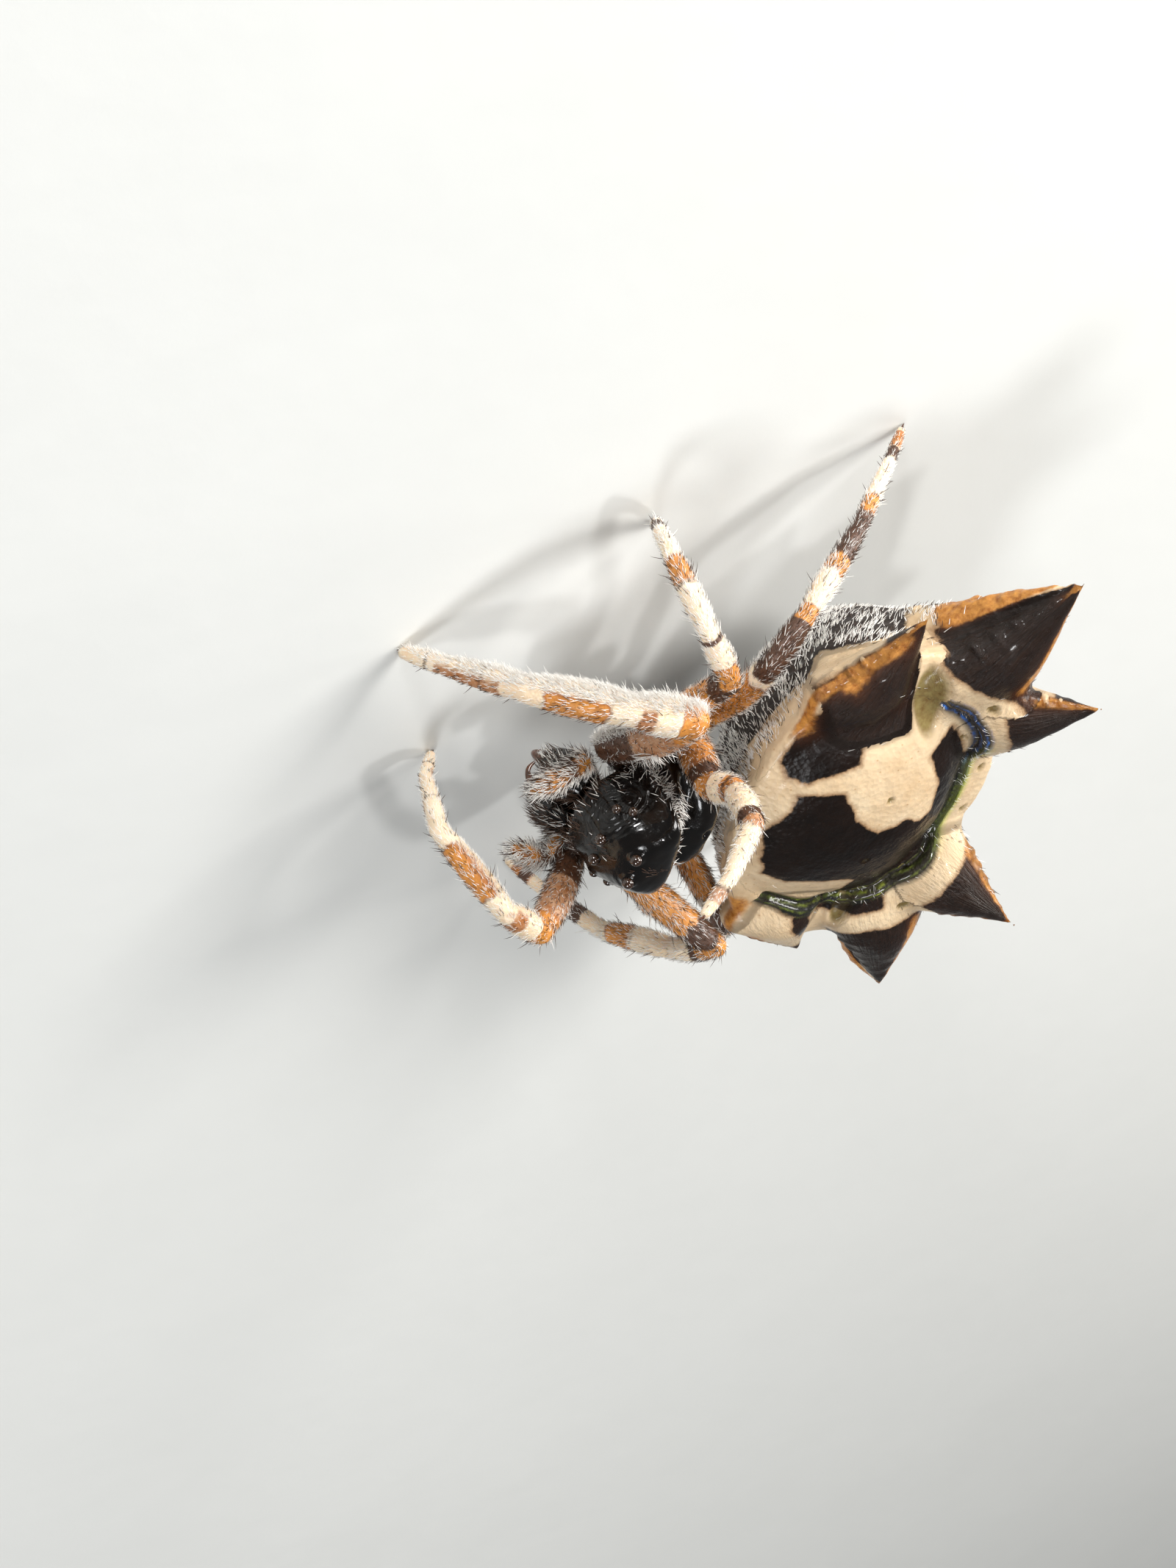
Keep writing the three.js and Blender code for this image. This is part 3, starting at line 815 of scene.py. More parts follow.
def pit_depth(points):
    """How deep in a pit each point is, and how near to a pit's lip."""
    x, y, z = points.T
    hollow, lip = np.zeros(len(points)), np.zeros(len(points))
    for at_x, at_y, long, wide, turn, left_size in PITS:
        c, s = math.cos(math.radians(turn)), math.sin(math.radians(turn))
        for sign, size in ((-1, 1), (1, left_size)):
            u, v = x - at_x, y * sign - at_y
            away = np.hypot((u * c + v * s) / long, (v * c - u * s) / wide) / size
            hollow = np.maximum(hollow, (z > PIT_FLOOR) * (1 - ease_step(away, 0.75, 1.15)))
            lip = np.maximum(lip, (z > PIT_FLOOR) * bell(away - 1.25, 0.25))
    return hollow, lip


# %% Crease, folds and knobs
CREASE_SCALE = 2.05
CREASE_AT, LIP_AT = 0.03, 0.17
FOLD_SPACING, FOLD_DEPTH = 0.13, 0.016
KNOBS = 8


def crease_distance(x, y):
    """About how far outside the crease round the disc, in millimetres."""
    return (disc_share(x, y) - 1) * CREASE_SCALE


spots, out = points_of(abdomen), normals_of(abdomen)
x, y, z = spots.T
weight, share, over, beside, number = spine_places(spots)
on_top = ease_step(out[:, 2], -0.1, 0.25)
crease = crease_distance(x, y) + 0.05 * rough(spots, 1.4, 2)
azimuth = np.arctan2(y, DISC["at"] - x)
round_disc = ease_step(azimuth, -1.5, -1.2) * (1 - ease_step(azimuth, 2.0, 2.4))
back = on_top * (1 - weight * ease_step(share, 0.3, 0.5)) * round_disc
hollow, lip = pit_depth(spots)
ripple = np.cos(crease * 2 * math.pi / FOLD_SPACING + 1.5 * rough(spots, 2))
folds = FOLD_DEPTH * ripple * bell(crease - 0.1, 0.11)
push = back * (0.05 * bell(crease - LIP_AT, 0.07) - 0.07 * bell(crease - CREASE_AT, 0.05) + folds)
push += 0.02 * lip * on_top - 0.05 * hollow * on_top
keel = weight * bell(over, 0.3) * ease_step(share, 0.12, 0.3)
knob = np.clip(np.sin(share * 2 * math.pi * KNOBS + 2 * rough(spots, 1.7)), 0, 1)
knob *= 1 - ease_step(share, 0.8, 0.98)
push += keel * 0.06 * knob * (1 - share)
beads = (x < -4.2) * ease_step(np.abs(y), 3.2, 3.7) * ease_step(-out[:, 2], -0.35, 0.1)
push += 0.05 * beads * np.clip(rough(spots, 5.5, 8) + 0.1, 0, 1)
push += 0.03 * rough(spots, 1.1, 7) + 0.012 * rough(spots, 4.5, 3)
push += 0.03 * (1 - on_top) * rough(spots * [1, 1, 2.6], 2.6, 5)
set_points(abdomen, spots + out * push[:, None])
print("pushed by", push.min().round(3), "to", push.max().round(3), "mm")

# %% [markdown]
# ## Markings of the shell
# The back is cream with large near-black patches, the spines are dark with orange edges, and the flanks
# are cream near the edge and dark below. A patch is kept as the distance to its outline, so the
# material can give it a crisp but ragged edge that doesn't depend on how fine the mesh is.

# %% Outlines of the dark patches, seen from above
PATCHES = [
    [
        (-1.5, -1.4), (-1.7, -2.35), (-2.05, -2.85), (-2.7, -3.1), (-3.4, -2.8), (-3.5, -2.0),
        (-2.7, -2.05), (-2.65, -1.5), (-1.9, -1.1), (-1.6, -1.1),
    ],
    [
        (-1.8, -0.8), (-2.5, -0.95), (-2.9, -0.3), (-3.4, 0.05), (-3.9, -0.2), (-4.25, -0.02), (-4.52, -0.2),
        (-4.4, -0.9), (-4.05, -1.5), (-4.5, -1.9), (-5.15, -1.0), (-5.4, 0.0), (-5.3, 0.9), (-4.9, 1.5),
        (-4.35, 1.98), (-3.6, 2.2), (-3.58, 1.45), (-3.3, 1.31), (-2.2, 1.28), (-1.8, 1.15), (-1.5, 0.1),
        (-1.75, -0.5),
    ],
    [(-2.5, 2.05), (-3.6, 2.25), (-4.5, 2.15), (-4.55, 2.45), (-4.1, 2.6), (-3.4, 2.55), (-2.5, 2.25)],
    [(-2.75, 2.35), (-3.1, 2.45), (-3.35, 2.85), (-3.15, 3.0), (-2.8, 2.7)],
]
# the share of each spine from which its upper side is dark, and from which it is dark all round
DARK_FROM = np.array([0.08, 0.12, 0.2, 0.22, -0.3, 0.85])
DARK_TIP_FROM = np.array([0.62, 0.62, 0.62, 0.62, 0.62, 0.85])
FAR = 9.0


def outline_distance(outline, x, y):
    """Distance to a closed outline, positive inside it."""
    best = np.full(len(x), FAR)
    inside = np.zeros(len(x), bool)
    for (ax, ay), (bx, by) in zip(outline, outline[1:] + outline[:1]):
        ex, ey = bx - ax, by - ay
        t = np.clip(((x - ax) * ex + (y - ay) * ey) / (ex * ex + ey * ey), 0, 1)
        best = np.minimum(best, np.hypot(x - ax - t * ex, y - ay - t * ey))
        crosses = (ay > y) != (by > y)
        inside ^= crosses & (x < ax + (y - ay) / np.where(ey == 0, 1e-9, ey) * ex)
    return np.where(inside, best, -best)


print("patches on the back:", len(PATCHES))


# %% How dark, how orange and how much belly each point is
def side_places(points):
    """How far out each point is, whether it is on the flank below a middle spine, and how far down."""
    x, y, z = points.T
    out = np.abs(y)
    keel, lowest = 1.1 + 0.21 * (out - 2.6), -0.48 + 0.93 * (out - 2.95)
    return out, (x < -4.1) & (out > 2.9) & (z < keel + 0.1), (keel - z) / (keel - lowest + 0.05)


def dark_marks(points, top):
    """Distance to the edge of the nearest dark marking, positive inside it."""
    x, y, _ = points.T
    weight, share, over, _, number = spine_places(points)
    mark = np.full(len(points), -0.5)
    for outline in PATCHES:
        mark = np.maximum(mark, outline_distance(outline, x, y))
    mark = np.where(top > 0.5, mark, -0.5)
    lengths = of_spine("length", number)
    on_spine = np.minimum((share - DARK_FROM[number]) * lengths, (over + 0.15) * 0.5)
    tips = (share - DARK_TIP_FROM[number]) * lengths
    mark = np.where(weight > 0.5, np.maximum(mark, np.maximum(on_spine, tips)), mark)
    out, at_side, down = side_places(points)
    flank = np.minimum((out - 3.3) * 0.8, (0.58 - down - 0.3 * ease_step(out, 4.2, 4.9)) * 0.9)
    return np.clip(np.where(at_side, np.maximum(mark, flank), mark), -0.6, 0.6)


def orange_edges(points):
    """How orange each point is: along keels, tips, rim and flanks. On the middle spines' rear edges it is
    partly painted light shining through.
    """
    x, _, z = points.T
    weight, share, over, beside, number = spine_places(points)
    out, at_side, down = side_places(points)
    on_middle = number < MIDDLE_SPINES
    rear_turn = np.arctan2(over / SPINE_FLATNESS, beside) - 1.0
    edges = [
        weight * bell(over - 0.1, 0.3) * ease_step(share, 0.05, 0.25) * ((beside > 0) | ~on_middle),
        # the orange line on the middle spines' rear edges is partly their own colour, partly painted light
        # shining through the thin edge
        0.9 * weight * on_middle * bell(rear_turn, 0.3) * ease_step(share, 0.0, 0.3),
        0.6 * weight * ease_step(share, 0.7, 0.95) * (over < 0.4),
        0.8 * bell(z - rim_height(x) - 0.02, 0.13) * ease_step(x, -3.6, -2.8) * ease_step(out, 1.6, 2.2),
        0.85 * at_side * ease_step(down, 0.42, 0.6) * ease_step(out, 3.2, 3.6),
    ]
    return np.max(edges, axis=0)


def belly_share(points, top):
    x, y, z = points.T
    weight, *_ = spine_places(points)
    below = (1 - top) * (1 - weight) * ease_step(rim_height(x) - z, 0.55, 0.95)
    return below * (1 - ease_step(np.abs(y) + 0.6 * rough(points, 1.3, 3), 2.6, 3.6))


# %% Markings onto the shell
HIDE_CREASE = 2
spots, out = points_of(abdomen), normals_of(abdomen)
top = ease_step(out[:, 2], -0.05, 0.2)
mark = dark_marks(spots, top)
hollow, _ = pit_depth(spots)
away = np.where(crease < 0.1, -HIDE_CREASE, HIDE_CREASE) * (back < 0.5)
weight, share, over, beside, number = spine_places(spots)
flow = np.stack([share * of_spine("length", number), over + number * 3, beside], 1) * weight[:, None]
for name, values in (
    ("mark", mark),
    ("edge", orange_edges(spots)),
    ("belly", belly_share(spots, top)),
    ("pit", hollow),
    ("crease", np.clip(crease, -0.6, 0.6) + away),
    ("spine", weight),
):
    store(abdomen, name, values)
store(abdomen, "flow", flow, "FLOAT_VECTOR", "vector")
print("share of the shell that is dark:", round(float((mark > 0).mean()), 2))

# %% [markdown]
# ## Shared effects for the finishes
# Three effects come back in most finishes: soft blotches, a ragged threshold that turns a distance into
# a crisp edge, and a fine grain for bumps. Each is a node group with named inputs, built once.


# %% Node tools
class Nodes:
    """A node tree, with one short call for each kind of node. Every call gives the node's output."""

    def __init__(self, tree):
        self.tree = tree

    def fill(self, socket, value):
        if isinstance(value, bpy.types.NodeSocket):
            self.tree.links.new(value, socket)
        elif socket.type == "RGBA":
            socket.default_value = (*value, 1)
        else:
            socket.default_value = value

    def add(self, kind, inputs, output=0, **settings):
        node = self.tree.nodes.new("ShaderNode" + kind)
        for key, value in settings.items():
            setattr(node, key, value)
        for key, value in inputs.items():
            self.fill(node.inputs[key], value)
        return node.outputs[output]

    def math(self, operation, *values, clamp=False):
        return self.add("Math", dict(enumerate(values)), operation=operation, use_clamp=clamp)

    def times(self, first, second, clamp=False):
        return self.math("MULTIPLY", first, second, clamp=clamp)

    def times_plus(self, value, factor, more, clamp=False):
        return self.math("MULTIPLY_ADD", value, factor, more, clamp=clamp)

    def distance(self, value, at):
        return self.math("ABSOLUTE", self.math("SUBTRACT", value, at))

    def vector_math(self, operation, first, second=None, output=0):
        inputs = {0: first} if second is None else {0: first, 1: second}
        return self.add("VectorMath", inputs, output, operation=operation)

    def stretch(self, vector, factors):
        return self.vector_math("MULTIPLY", vector, factors)

    def slope(self, value, start, end, low=0.0, high=1.0, kind="LINEAR"):
        """From low at start to high at end."""
        inputs = {"Value": value, "From Min": start, "From Max": end, "To Min": low, "To Max": high}
        return self.add("MapRange", inputs, interpolation_type=kind)

    def noise(self, vector, scale, detail, **more):
        return self.add("TexNoise", {"Vector": vector, "Scale": scale, "Detail": detail, **more}, "Fac")

    def cells(self, vector, scale):
        return self.add("TexVoronoi", {"Vector": vector, "Scale": scale}, "Distance")

    def attribute(self, name, output="Fac"):
        return self.add("Attribute", {}, output, attribute_name=name)

    def mix(self, share, first, second):
        """From the first colour to the second as the share goes from 0 to 1."""
        return self.add("Mix", {0: share, 6: first, 7: second}, 2, data_type="RGBA")


# %% Blotches, ragged edges and grain
def start_group(name, output, **inputs):
    """An empty node group: its tools, its inputs by name, and a call that ends it."""
    tree = bpy.data.node_groups.new(name, "ShaderNodeTree")
    add_socket = tree.interface.new_socket
    add_socket(name="Vector", in_out="INPUT", socket_type="NodeSocketVector")
    for label, value in inputs.items():
        socket = add_socket(name=label.replace("_", " "), in_out="INPUT", socket_type="NodeSocketFloat")
        socket.default_value = value
    add_socket(name=output, in_out="OUTPUT", socket_type="NodeSocketFloat")
    given, made = tree.nodes.new("NodeGroupInput"), tree.nodes.new("NodeGroupOutput")
    return Nodes(tree), given.outputs, lambda value: tree.links.new(value, made.inputs[output])


group, given, finish_group = start_group("Blotches", "Amount", Scale=3.0, Contrast=1.0)
cloud = group.noise(given["Vector"], given["Scale"], 4.0, Roughness=0.6)
finish_group(group.times_plus(group.math("SUBTRACT", cloud, 0.5), given["Contrast"], 0.5, clamp=True))
BLOTCHES = group.tree

group, given, finish_group = start_group(
    "Ragged edge", "Mask", Distance=0.0, Scale=6.0, Wander=0.1, Softness=0.02
)
cloud = group.noise(given["Vector"], given["Scale"], 5.0, Roughness=0.65)
moved = group.math("ADD", given["Distance"], group.times(group.math("SUBTRACT", cloud, 0.5), given["Wander"]))
lower = group.times(given["Softness"], -1.0)
finish_group(group.slope(moved, lower, given["Softness"], kind="SMOOTHSTEP"))
RAGGED = group.tree

group, given, finish_group = start_group(
    "Grain", "Height", Pore_scale=18.0, Pore_depth=0.5, Wrinkle_scale=9.0, Wrinkle_depth=0.5
)
pores = group.times(group.cells(given["Vector"], given["Pore scale"]), given["Pore depth"])
wrinkles = group.noise(given["Vector"], given["Wrinkle scale"], 6.0, Roughness=0.6)
finish_group(group.times_plus(wrinkles, given["Wrinkle depth"], pores))
GRAIN = group.tree
print("shared effects:", [g.name for g in bpy.data.node_groups])


# %% Starting a finish
class Finish(Nodes):
    """A material: its shader, with what is the same all over it, and coordinates in millimetres."""

    def __init__(self, name, **constants):
        self.material = bpy.data.materials.new(name)
        self.material.use_nodes = True
        super().__init__(self.material.node_tree)
        self.tree.nodes.clear()
        self.shader = self.tree.nodes.new("ShaderNodeBsdfPrincipled")
        end = self.tree.nodes.new("ShaderNodeOutputMaterial")
        self.tree.links.new(self.shader.outputs[0], end.inputs["Surface"])
        where = self.add("TexCoord", {}, "Object")
        self.mm = self.add("VectorMath", {0: where, "Scale": float(MM)}, operation="SCALE")
        for key, value in constants.items():
            self.shader.inputs[key.replace("_", " ")].default_value = value

    def use(self, effect, **inputs):
        node = self.tree.nodes.new("ShaderNodeGroup")
        node.node_tree = effect
        for key, value in dict(Vector=self.mm, **inputs).items():
            self.fill(node.inputs[key.replace("_", " ")], value)
        return node.outputs[0]

    def blotches(self, scale, contrast):
        return self.use(BLOTCHES, Scale=scale, Contrast=contrast)

    def ragged(self, name, start, **inputs):
        """A mask with a ragged edge, where the named attribute passes a value."""
        distance = self.attribute(name) if start == 0 else self.math("SUBTRACT", self.attribute(name), start)
        return self.use(RAGGED, Distance=distance, **inputs)

    def wear(self, colour, roughness=None):
        self.fill(self.shader.inputs["Base Color"], colour)
        if roughness is not None:
            self.fill(self.shader.inputs["Roughness"], roughness)

    def bump(self, height, distance, strength=1.0):
        inputs = {"Height": height, "Distance": distance, "Strength": strength}
        self.fill(self.shader.inputs["Normal"], self.add("Bump", inputs))


# %% [markdown]
# ## Finishes
# The legs' skin is thin and a little translucent, so light is scattered inside it. The shell of the
# abdomen is hard and polished, with wear-like specks in the cream and brown clouds in the black. The
# carapace is like black lacquer over fine wrinkles, with a swirl of folds on its right cheek.

# %% Skin of the legs
skin_finish = leg = Finish(
    "leg skin",
    Subsurface_Weight=0.25,
    Subsurface_Radius=(1.0, 0.5, 0.25),
    Subsurface_Scale=0.00012,
    Coat_Weight=0.15,
)
cloud, fine = leg.blotches(2.2, 1.6), leg.blotches(14.0, 1.5)
colour = leg.mix(cloud, (0.82, 0.62, 0.40), (0.92, 0.82, 0.66))
colour = leg.mix(leg.times(fine, 0.35), colour, (0.62, 0.36, 0.16))
orange_mask = leg.ragged("orange", 0.42, Scale=9.0, Wander=0.5, Softness=0.3)
inner = leg.times(leg.slope(leg.attribute("orange"), 0.45, 0.9), leg.times_plus(cloud, 0.8, 0.45), clamp=True)
colour = leg.mix(orange_mask, colour, leg.mix(inner, (0.26, 0.065, 0.008), (0.66, 0.27, 0.045)))
dark_mask = leg.ragged("dark", 0.5, Scale=9.0, Wander=0.4, Softness=0.25)
colour = leg.mix(dark_mask, colour, leg.mix(fine, (0.045, 0.018, 0.008), (0.12, 0.045, 0.018)))
leg.wear(colour, leg.times_plus(fine, 0.22, 0.26))
leg.bump(leg.use(GRAIN, Pore_scale=22.0, Pore_depth=0.35, Wrinkle_scale=12.0, Wrinkle_depth=0.7), 0.00002)
print("finish:", leg.material.name, "of", len(leg.tree.nodes), "nodes")

# %% Cream and black of the shell
shell_finish = shell = Finish(
    "abdomen shell",
    Specular_IOR_Level=0.18,
    Coat_Roughness=0.1,
    Subsurface_Weight=0.06,
    Subsurface_Radius=(1.0, 0.6, 0.35),
    Subsurface_Scale=0.00015,
)
cloud, fine = shell.blotches(1.3, 1.8), shell.blotches(9.0, 1.8)
cream = shell.mix(cloud, (0.55, 0.38, 0.22), (0.74, 0.59, 0.40))
specks = shell.slope(shell.cells(shell.mm, 5.5), 0.06, 0.13, 0.55, 0.0)
cream = shell.mix(specks, cream, (0.40, 0.20, 0.08))
cream = shell.mix(shell.times(fine, 0.25), cream, (0.60, 0.42, 0.22))
along_spine = shell.stretch(shell.attribute("flow", "Vector"), (0.9, 9.0, 9.0))
streaks = shell.noise(along_spine, 1.6, 4.0, Roughness=0.6)
black = shell.mix(cloud, (0.002, 0.0016, 0.0014), (0.013, 0.006, 0.0035))
streaked = shell.mix(streaks, (0.002, 0.003, 0.0035), (0.03, 0.014, 0.008))
black = shell.mix(shell.attribute("spine"), black, streaked)
near_edge = shell.times(shell.attribute("edge"), shell.times(streaks, 2.6), clamp=True)
black = shell.mix(near_edge, black, (0.085, 0.026, 0.009))
print("cream and black:", len(shell.tree.nodes), "nodes")

# %% Belly, patches and orange edges of the shell
belly_mask = shell.ragged("belly", 0.5, Scale=2.5, Wander=1.1, Softness=0.12)
colour = shell.mix(belly_mask, cream, (0.022, 0.014, 0.011))
mark_mask = shell.ragged("mark", 0, Scale=3.2, Wander=0.22, Softness=0.025)
mark_border = shell.ragged("mark", -0.05, Scale=3.2, Wander=0.22, Softness=0.06)
colour = shell.mix(shell.times(mark_border, 0.75), colour, (0.22, 0.10, 0.035))
colour = shell.mix(mark_mask, colour, black)
edge_mask = shell.ragged("edge", 0.45, Scale=7.0, Wander=0.5, Softness=0.2)
colour = shell.mix(edge_mask, colour, shell.mix(fine, (0.20, 0.05, 0.008), (0.66, 0.31, 0.07)))
print("with the markings:", len(shell.tree.nodes), "nodes")

# %% Crease with painted iridescent sheen on its fold lines, blue on the right and green on the left
SHEEN_BLUE, SHEEN_MOSS, SHEEN_LIME = (0.05, 0.22, 0.75), (0.04, 0.10, 0.03), (0.42, 0.46, 0.04)
RADIANS_PER_MM = 75.0
crease_at = shell.attribute("crease")
near_crease = shell.times_plus(shell.distance(crease_at, 0.1), -11.0, 2.1, clamp=True)
lines = shell.math("SINE", shell.times_plus(fine, 3.0, shell.times(crease_at, RADIANS_PER_MM)))
line_mask = shell.times(shell.times_plus(lines, 0.5, 0.5), near_crease)
line_mask = shell.times(line_mask, shell.times_plus(shell.blotches(5.0, 3.2), 0.85, 0.15))
sideways = shell.add("SeparateXYZ", {"Vector": shell.mm}, "Y")
to_left = shell.slope(sideways, -1.6, -0.2, kind="SMOOTHSTEP")
painted_sheen = shell.mix(to_left, SHEEN_BLUE, shell.mix(cloud, SHEEN_MOSS, SHEEN_LIME))
colour = shell.mix(shell.times(near_crease, 0.96), colour, (0.010, 0.010, 0.008))
# the fold lines are painted with the iridescent sheen and glints that light throws off them
colour = shell.mix(shell.times(shell.math("POWER", line_mask, 2.0), 0.85), colour, painted_sheen)
# a band just outside the crease at the back is painted yellow-green, a painted glow of the iridescent sheen
beyond = shell.times_plus(shell.distance(crease_at, 0.24), -7.0, 1.1, clamp=True)
at_back = shell.slope(shell.distance(sideways, -0.1), 0.9, 1.5, 1.0, 0.0)
painted_glow = shell.times(beyond, shell.times(at_back, shell.times_plus(cloud, 0.5, 0.35)))
colour = shell.mix(painted_glow, colour, (0.34, 0.40, 0.05))
print("with the crease:", len(shell.tree.nodes), "nodes")

# %% Pits and surface of the shell
pit_mask = shell.times(shell.attribute("pit"), shell.times_plus(mark_mask, -0.85, 1.0))
colour = shell.mix(pit_mask, colour, shell.mix(fine, (0.16, 0.09, 0.03), (0.30, 0.24, 0.09)))
shell.wear(colour, shell.times_plus(belly_mask, 0.2, shell.times_plus(fine, 0.2, 0.22)))
shell.fill(shell.shader.inputs["Coat Weight"], shell.times_plus(near_crease, 0.5, 0.14))
height = shell.use(GRAIN, Pore_scale=11.0, Pore_depth=0.3, Wrinkle_scale=6.0, Wrinkle_depth=0.5)
height = shell.math("ADD", line_mask, height)
height = shell.times_plus(shell.times(streaks, shell.attribute("spine")), 1.6, height)
shell.bump(height, 0.00003)
print("finish:", shell.material.name, "of", len(shell.tree.nodes), "nodes")

# %% Carapace
SWIRL_AT = np.array([1.3, -0.72, 0.2])
carapace_finish = lacquer = Finish(
    "black carapace", Specular_IOR_Level=0.2, Coat_Weight=0.45, Coat_Roughness=0.03
)
cloud = lacquer.blotches(3.0, 1.6)
colour = lacquer.mix(cloud, (0.001, 0.001, 0.001), (0.006, 0.004, 0.003))
lacquer.wear(colour, lacquer.times_plus(cloud, 0.12, 0.1))
height = lacquer.use(GRAIN, Pore_scale=6.0, Pore_depth=0.1, Wrinkle_scale=2.2, Wrinkle_depth=1.0)
from_swirl = lacquer.vector_math("SUBTRACT", lacquer.mm, tuple(PLACE + SWIRL_AT))
away = lacquer.vector_math("LENGTH", lacquer.stretch(from_swirl, (0.8, 0.8, 1.6)), output="Value")
wobble = lacquer.times(lacquer.noise(lacquer.mm, 2.6, 2.0), 16.0)
rings = lacquer.math("SINE", lacquer.times_plus(away, 38.0, wobble))
swirl_mask = lacquer.slope(away, 0.4, 0.8, 0.5, 0.0, "SMOOTHSTEP")
lacquer.bump(lacquer.times_plus(rings, swirl_mask, height), 0.00003)
print("finish:", lacquer.material.name, "of", len(lacquer.tree.nodes), "nodes")

# %% Eyes and horn
eye_finish = Finish("eye", Roughness=0.04, Coat_Weight=1.0, Coat_Roughness=0.02)
eye_finish.wear(eye_finish.mix(eye_finish.blotches(20.0, 1.4), (0.006, 0.004, 0.003), (0.05, 0.02, 0.008)))
horn_finish = Finish("dark horn", Coat_Weight=0.5)
cloud = horn_finish.blotches(9.0, 1.6)
colour = horn_finish.mix(cloud, (0.012, 0.005, 0.003), (0.16, 0.045, 0.012))
horn_finish.wear(colour, horn_finish.times_plus(cloud, 0.15, 0.14))
print("finishes:", eye_finish.material.name, "and", horn_finish.material.name)

# %% Bristles and floor
bristle_finish = bristle = Finish("bristles")
cloud = bristle.blotches(6.0, 1.4)
pale = bristle.mix(cloud, (0.80, 0.76, 0.70), (0.95, 0.93, 0.90))
deep = bristle.mix(cloud, (0.02, 0.011, 0.008), (0.10, 0.045, 0.02))
bristle.wear(bristle.mix(bristle.attribute("tone"), deep, pale), bristle.times_plus(cloud, 0.2, 0.3))
floor_finish = Finish("pale floor", Roughness=0.85)
cloud = floor_finish.blotches(0.15, 1.0)
floor_finish.wear(floor_finish.mix(cloud, (0.62, 0.625, 0.605), (0.67, 0.675, 0.655)))
height = floor_finish.use(GRAIN, Pore_scale=1.2, Pore_depth=0.1, Wrinkle_scale=0.8, Wrinkle_depth=0.3)
floor_finish.bump(height, 0.0001, 0.3)
print("finishes:", [m.name for m in bpy.data.materials])

# %% [markdown]
# ## The coat
# Spiders have bristles, not fur: thin stiff hairs that lean towards the leg's tip. Each is a slim
# three-sided cone with a bend in it, rooted in the skin below. They are built as one joined mesh for
# each region, straight from arrays, because thousands of separate objects would be slow. Each hair's
# place on an unwrap of the skin is kept in a UV map, so its colour can be baked.

# %% Roots on a skin
rng = np.random.default_rng(41)
TINY = 1e-9


def scatter(piece, count, density):
    """Random places on a skin: more where density, a function of points and normals, is higher."""
    piece.data.calc_loop_triangles()
    corners = np.empty(len(piece.data.loop_triangles) * 3, np.int32)
    piece.data.loop_triangles.foreach_get("vertices", corners)
    corners = corners.reshape(-1, 3)
    spots, out = points_of(piece), normals_of(piece)
    a, b, c = (spots[corners[:, k]] for k in range(3))
    area = np.linalg.norm(np.cross(b - a, c - a), axis=1)
    facing = unit(out[corners].mean(axis=1), TINY)
    chance = area * density((a + b + c) / 3, facing)
    picked = rng.choice(len(corners), size=count, p=chance / chance.sum())
    u, v = rng.random(count), rng.random(count)
    over = u + v > 1
    u, v = np.where(over, 1 - u, u), np.where(over, 1 - v, v)
    roots = a[picked] + (b - a)[picked] * u[:, None] + (c - a)[picked] * v[:, None]
    return roots, facing[picked]


def chosen(count, chance):
    """1 for a pale hair and 0 for a dark one, each with its own chance of being pale."""
    return (rng.random(count) < chance).astype(float)


# %% One hair, three-sided, with its points in three rings and a tip
SIDES = 3
RING_AT, RING_WIDTH = (-0.08, 0.3, 0.68), (1.0, 0.85, 0.5)
POINTS = SIDES * len(RING_AT) + 1
EDGES = [(j, (j + 1) % SIDES) for j in range(SIDES)]
QUADS = [(k + i, k + j, k + SIDES + j, k + SIDES + i) for k in (0, SIDES) for i, j in EDGES]
TIPS = [(2 * SIDES + i, 2 * SIDES + j, POINTS - 1) for i, j in EDGES]
SPREAD, DROOP = 0.35, 0.22
PATCH = 0.003
ON_PATCH = np.array([(j / 2, k / 3) for k in range(3) for j in range(3)] + [(0.5, 1.0)]) - 0.5
print("faces of a hair:", len(QUADS) + len(TIPS))


# %% Hairs from arrays
def hair_points(roots, out, lie, length, width, stand):
    """The points of all hairs. stand is the angle over the skin, in radians."""
    count = len(roots)
    lie = unit(lie - out * np.sum(lie * out, axis=1)[:, None], TINY)
    lie = unit(lie + SPREAD * np.cross(out, lie) * rng.normal(size=(count, 1)), TINY)
    stand, long, thick = (np.broadcast_to(v, count)[:, None] for v in (stand, length, width))
    rise = lie * np.cos(stand) + out * np.sin(stand)
    side = unit(np.cross(rise, out) + 1e-6, TINY)
    front = np.cross(side, rise)
    droop = out * long * DROOP * np.sin(stand)
    verts = np.empty((count, POINTS, 3))
    for k, (t, s) in enumerate(zip(RING_AT, RING_WIDTH)):
        middle = roots + rise * long * t - droop * max(t, 0) ** 2
        for j in range(SIDES):
            turn = 2 * math.pi * j / SIDES
            around = side * math.cos(turn) + front * math.sin(turn)
            verts[:, k * SIDES + j] = middle + around * thick * s
    verts[:, -1] = roots + rise * long - droop
    return verts


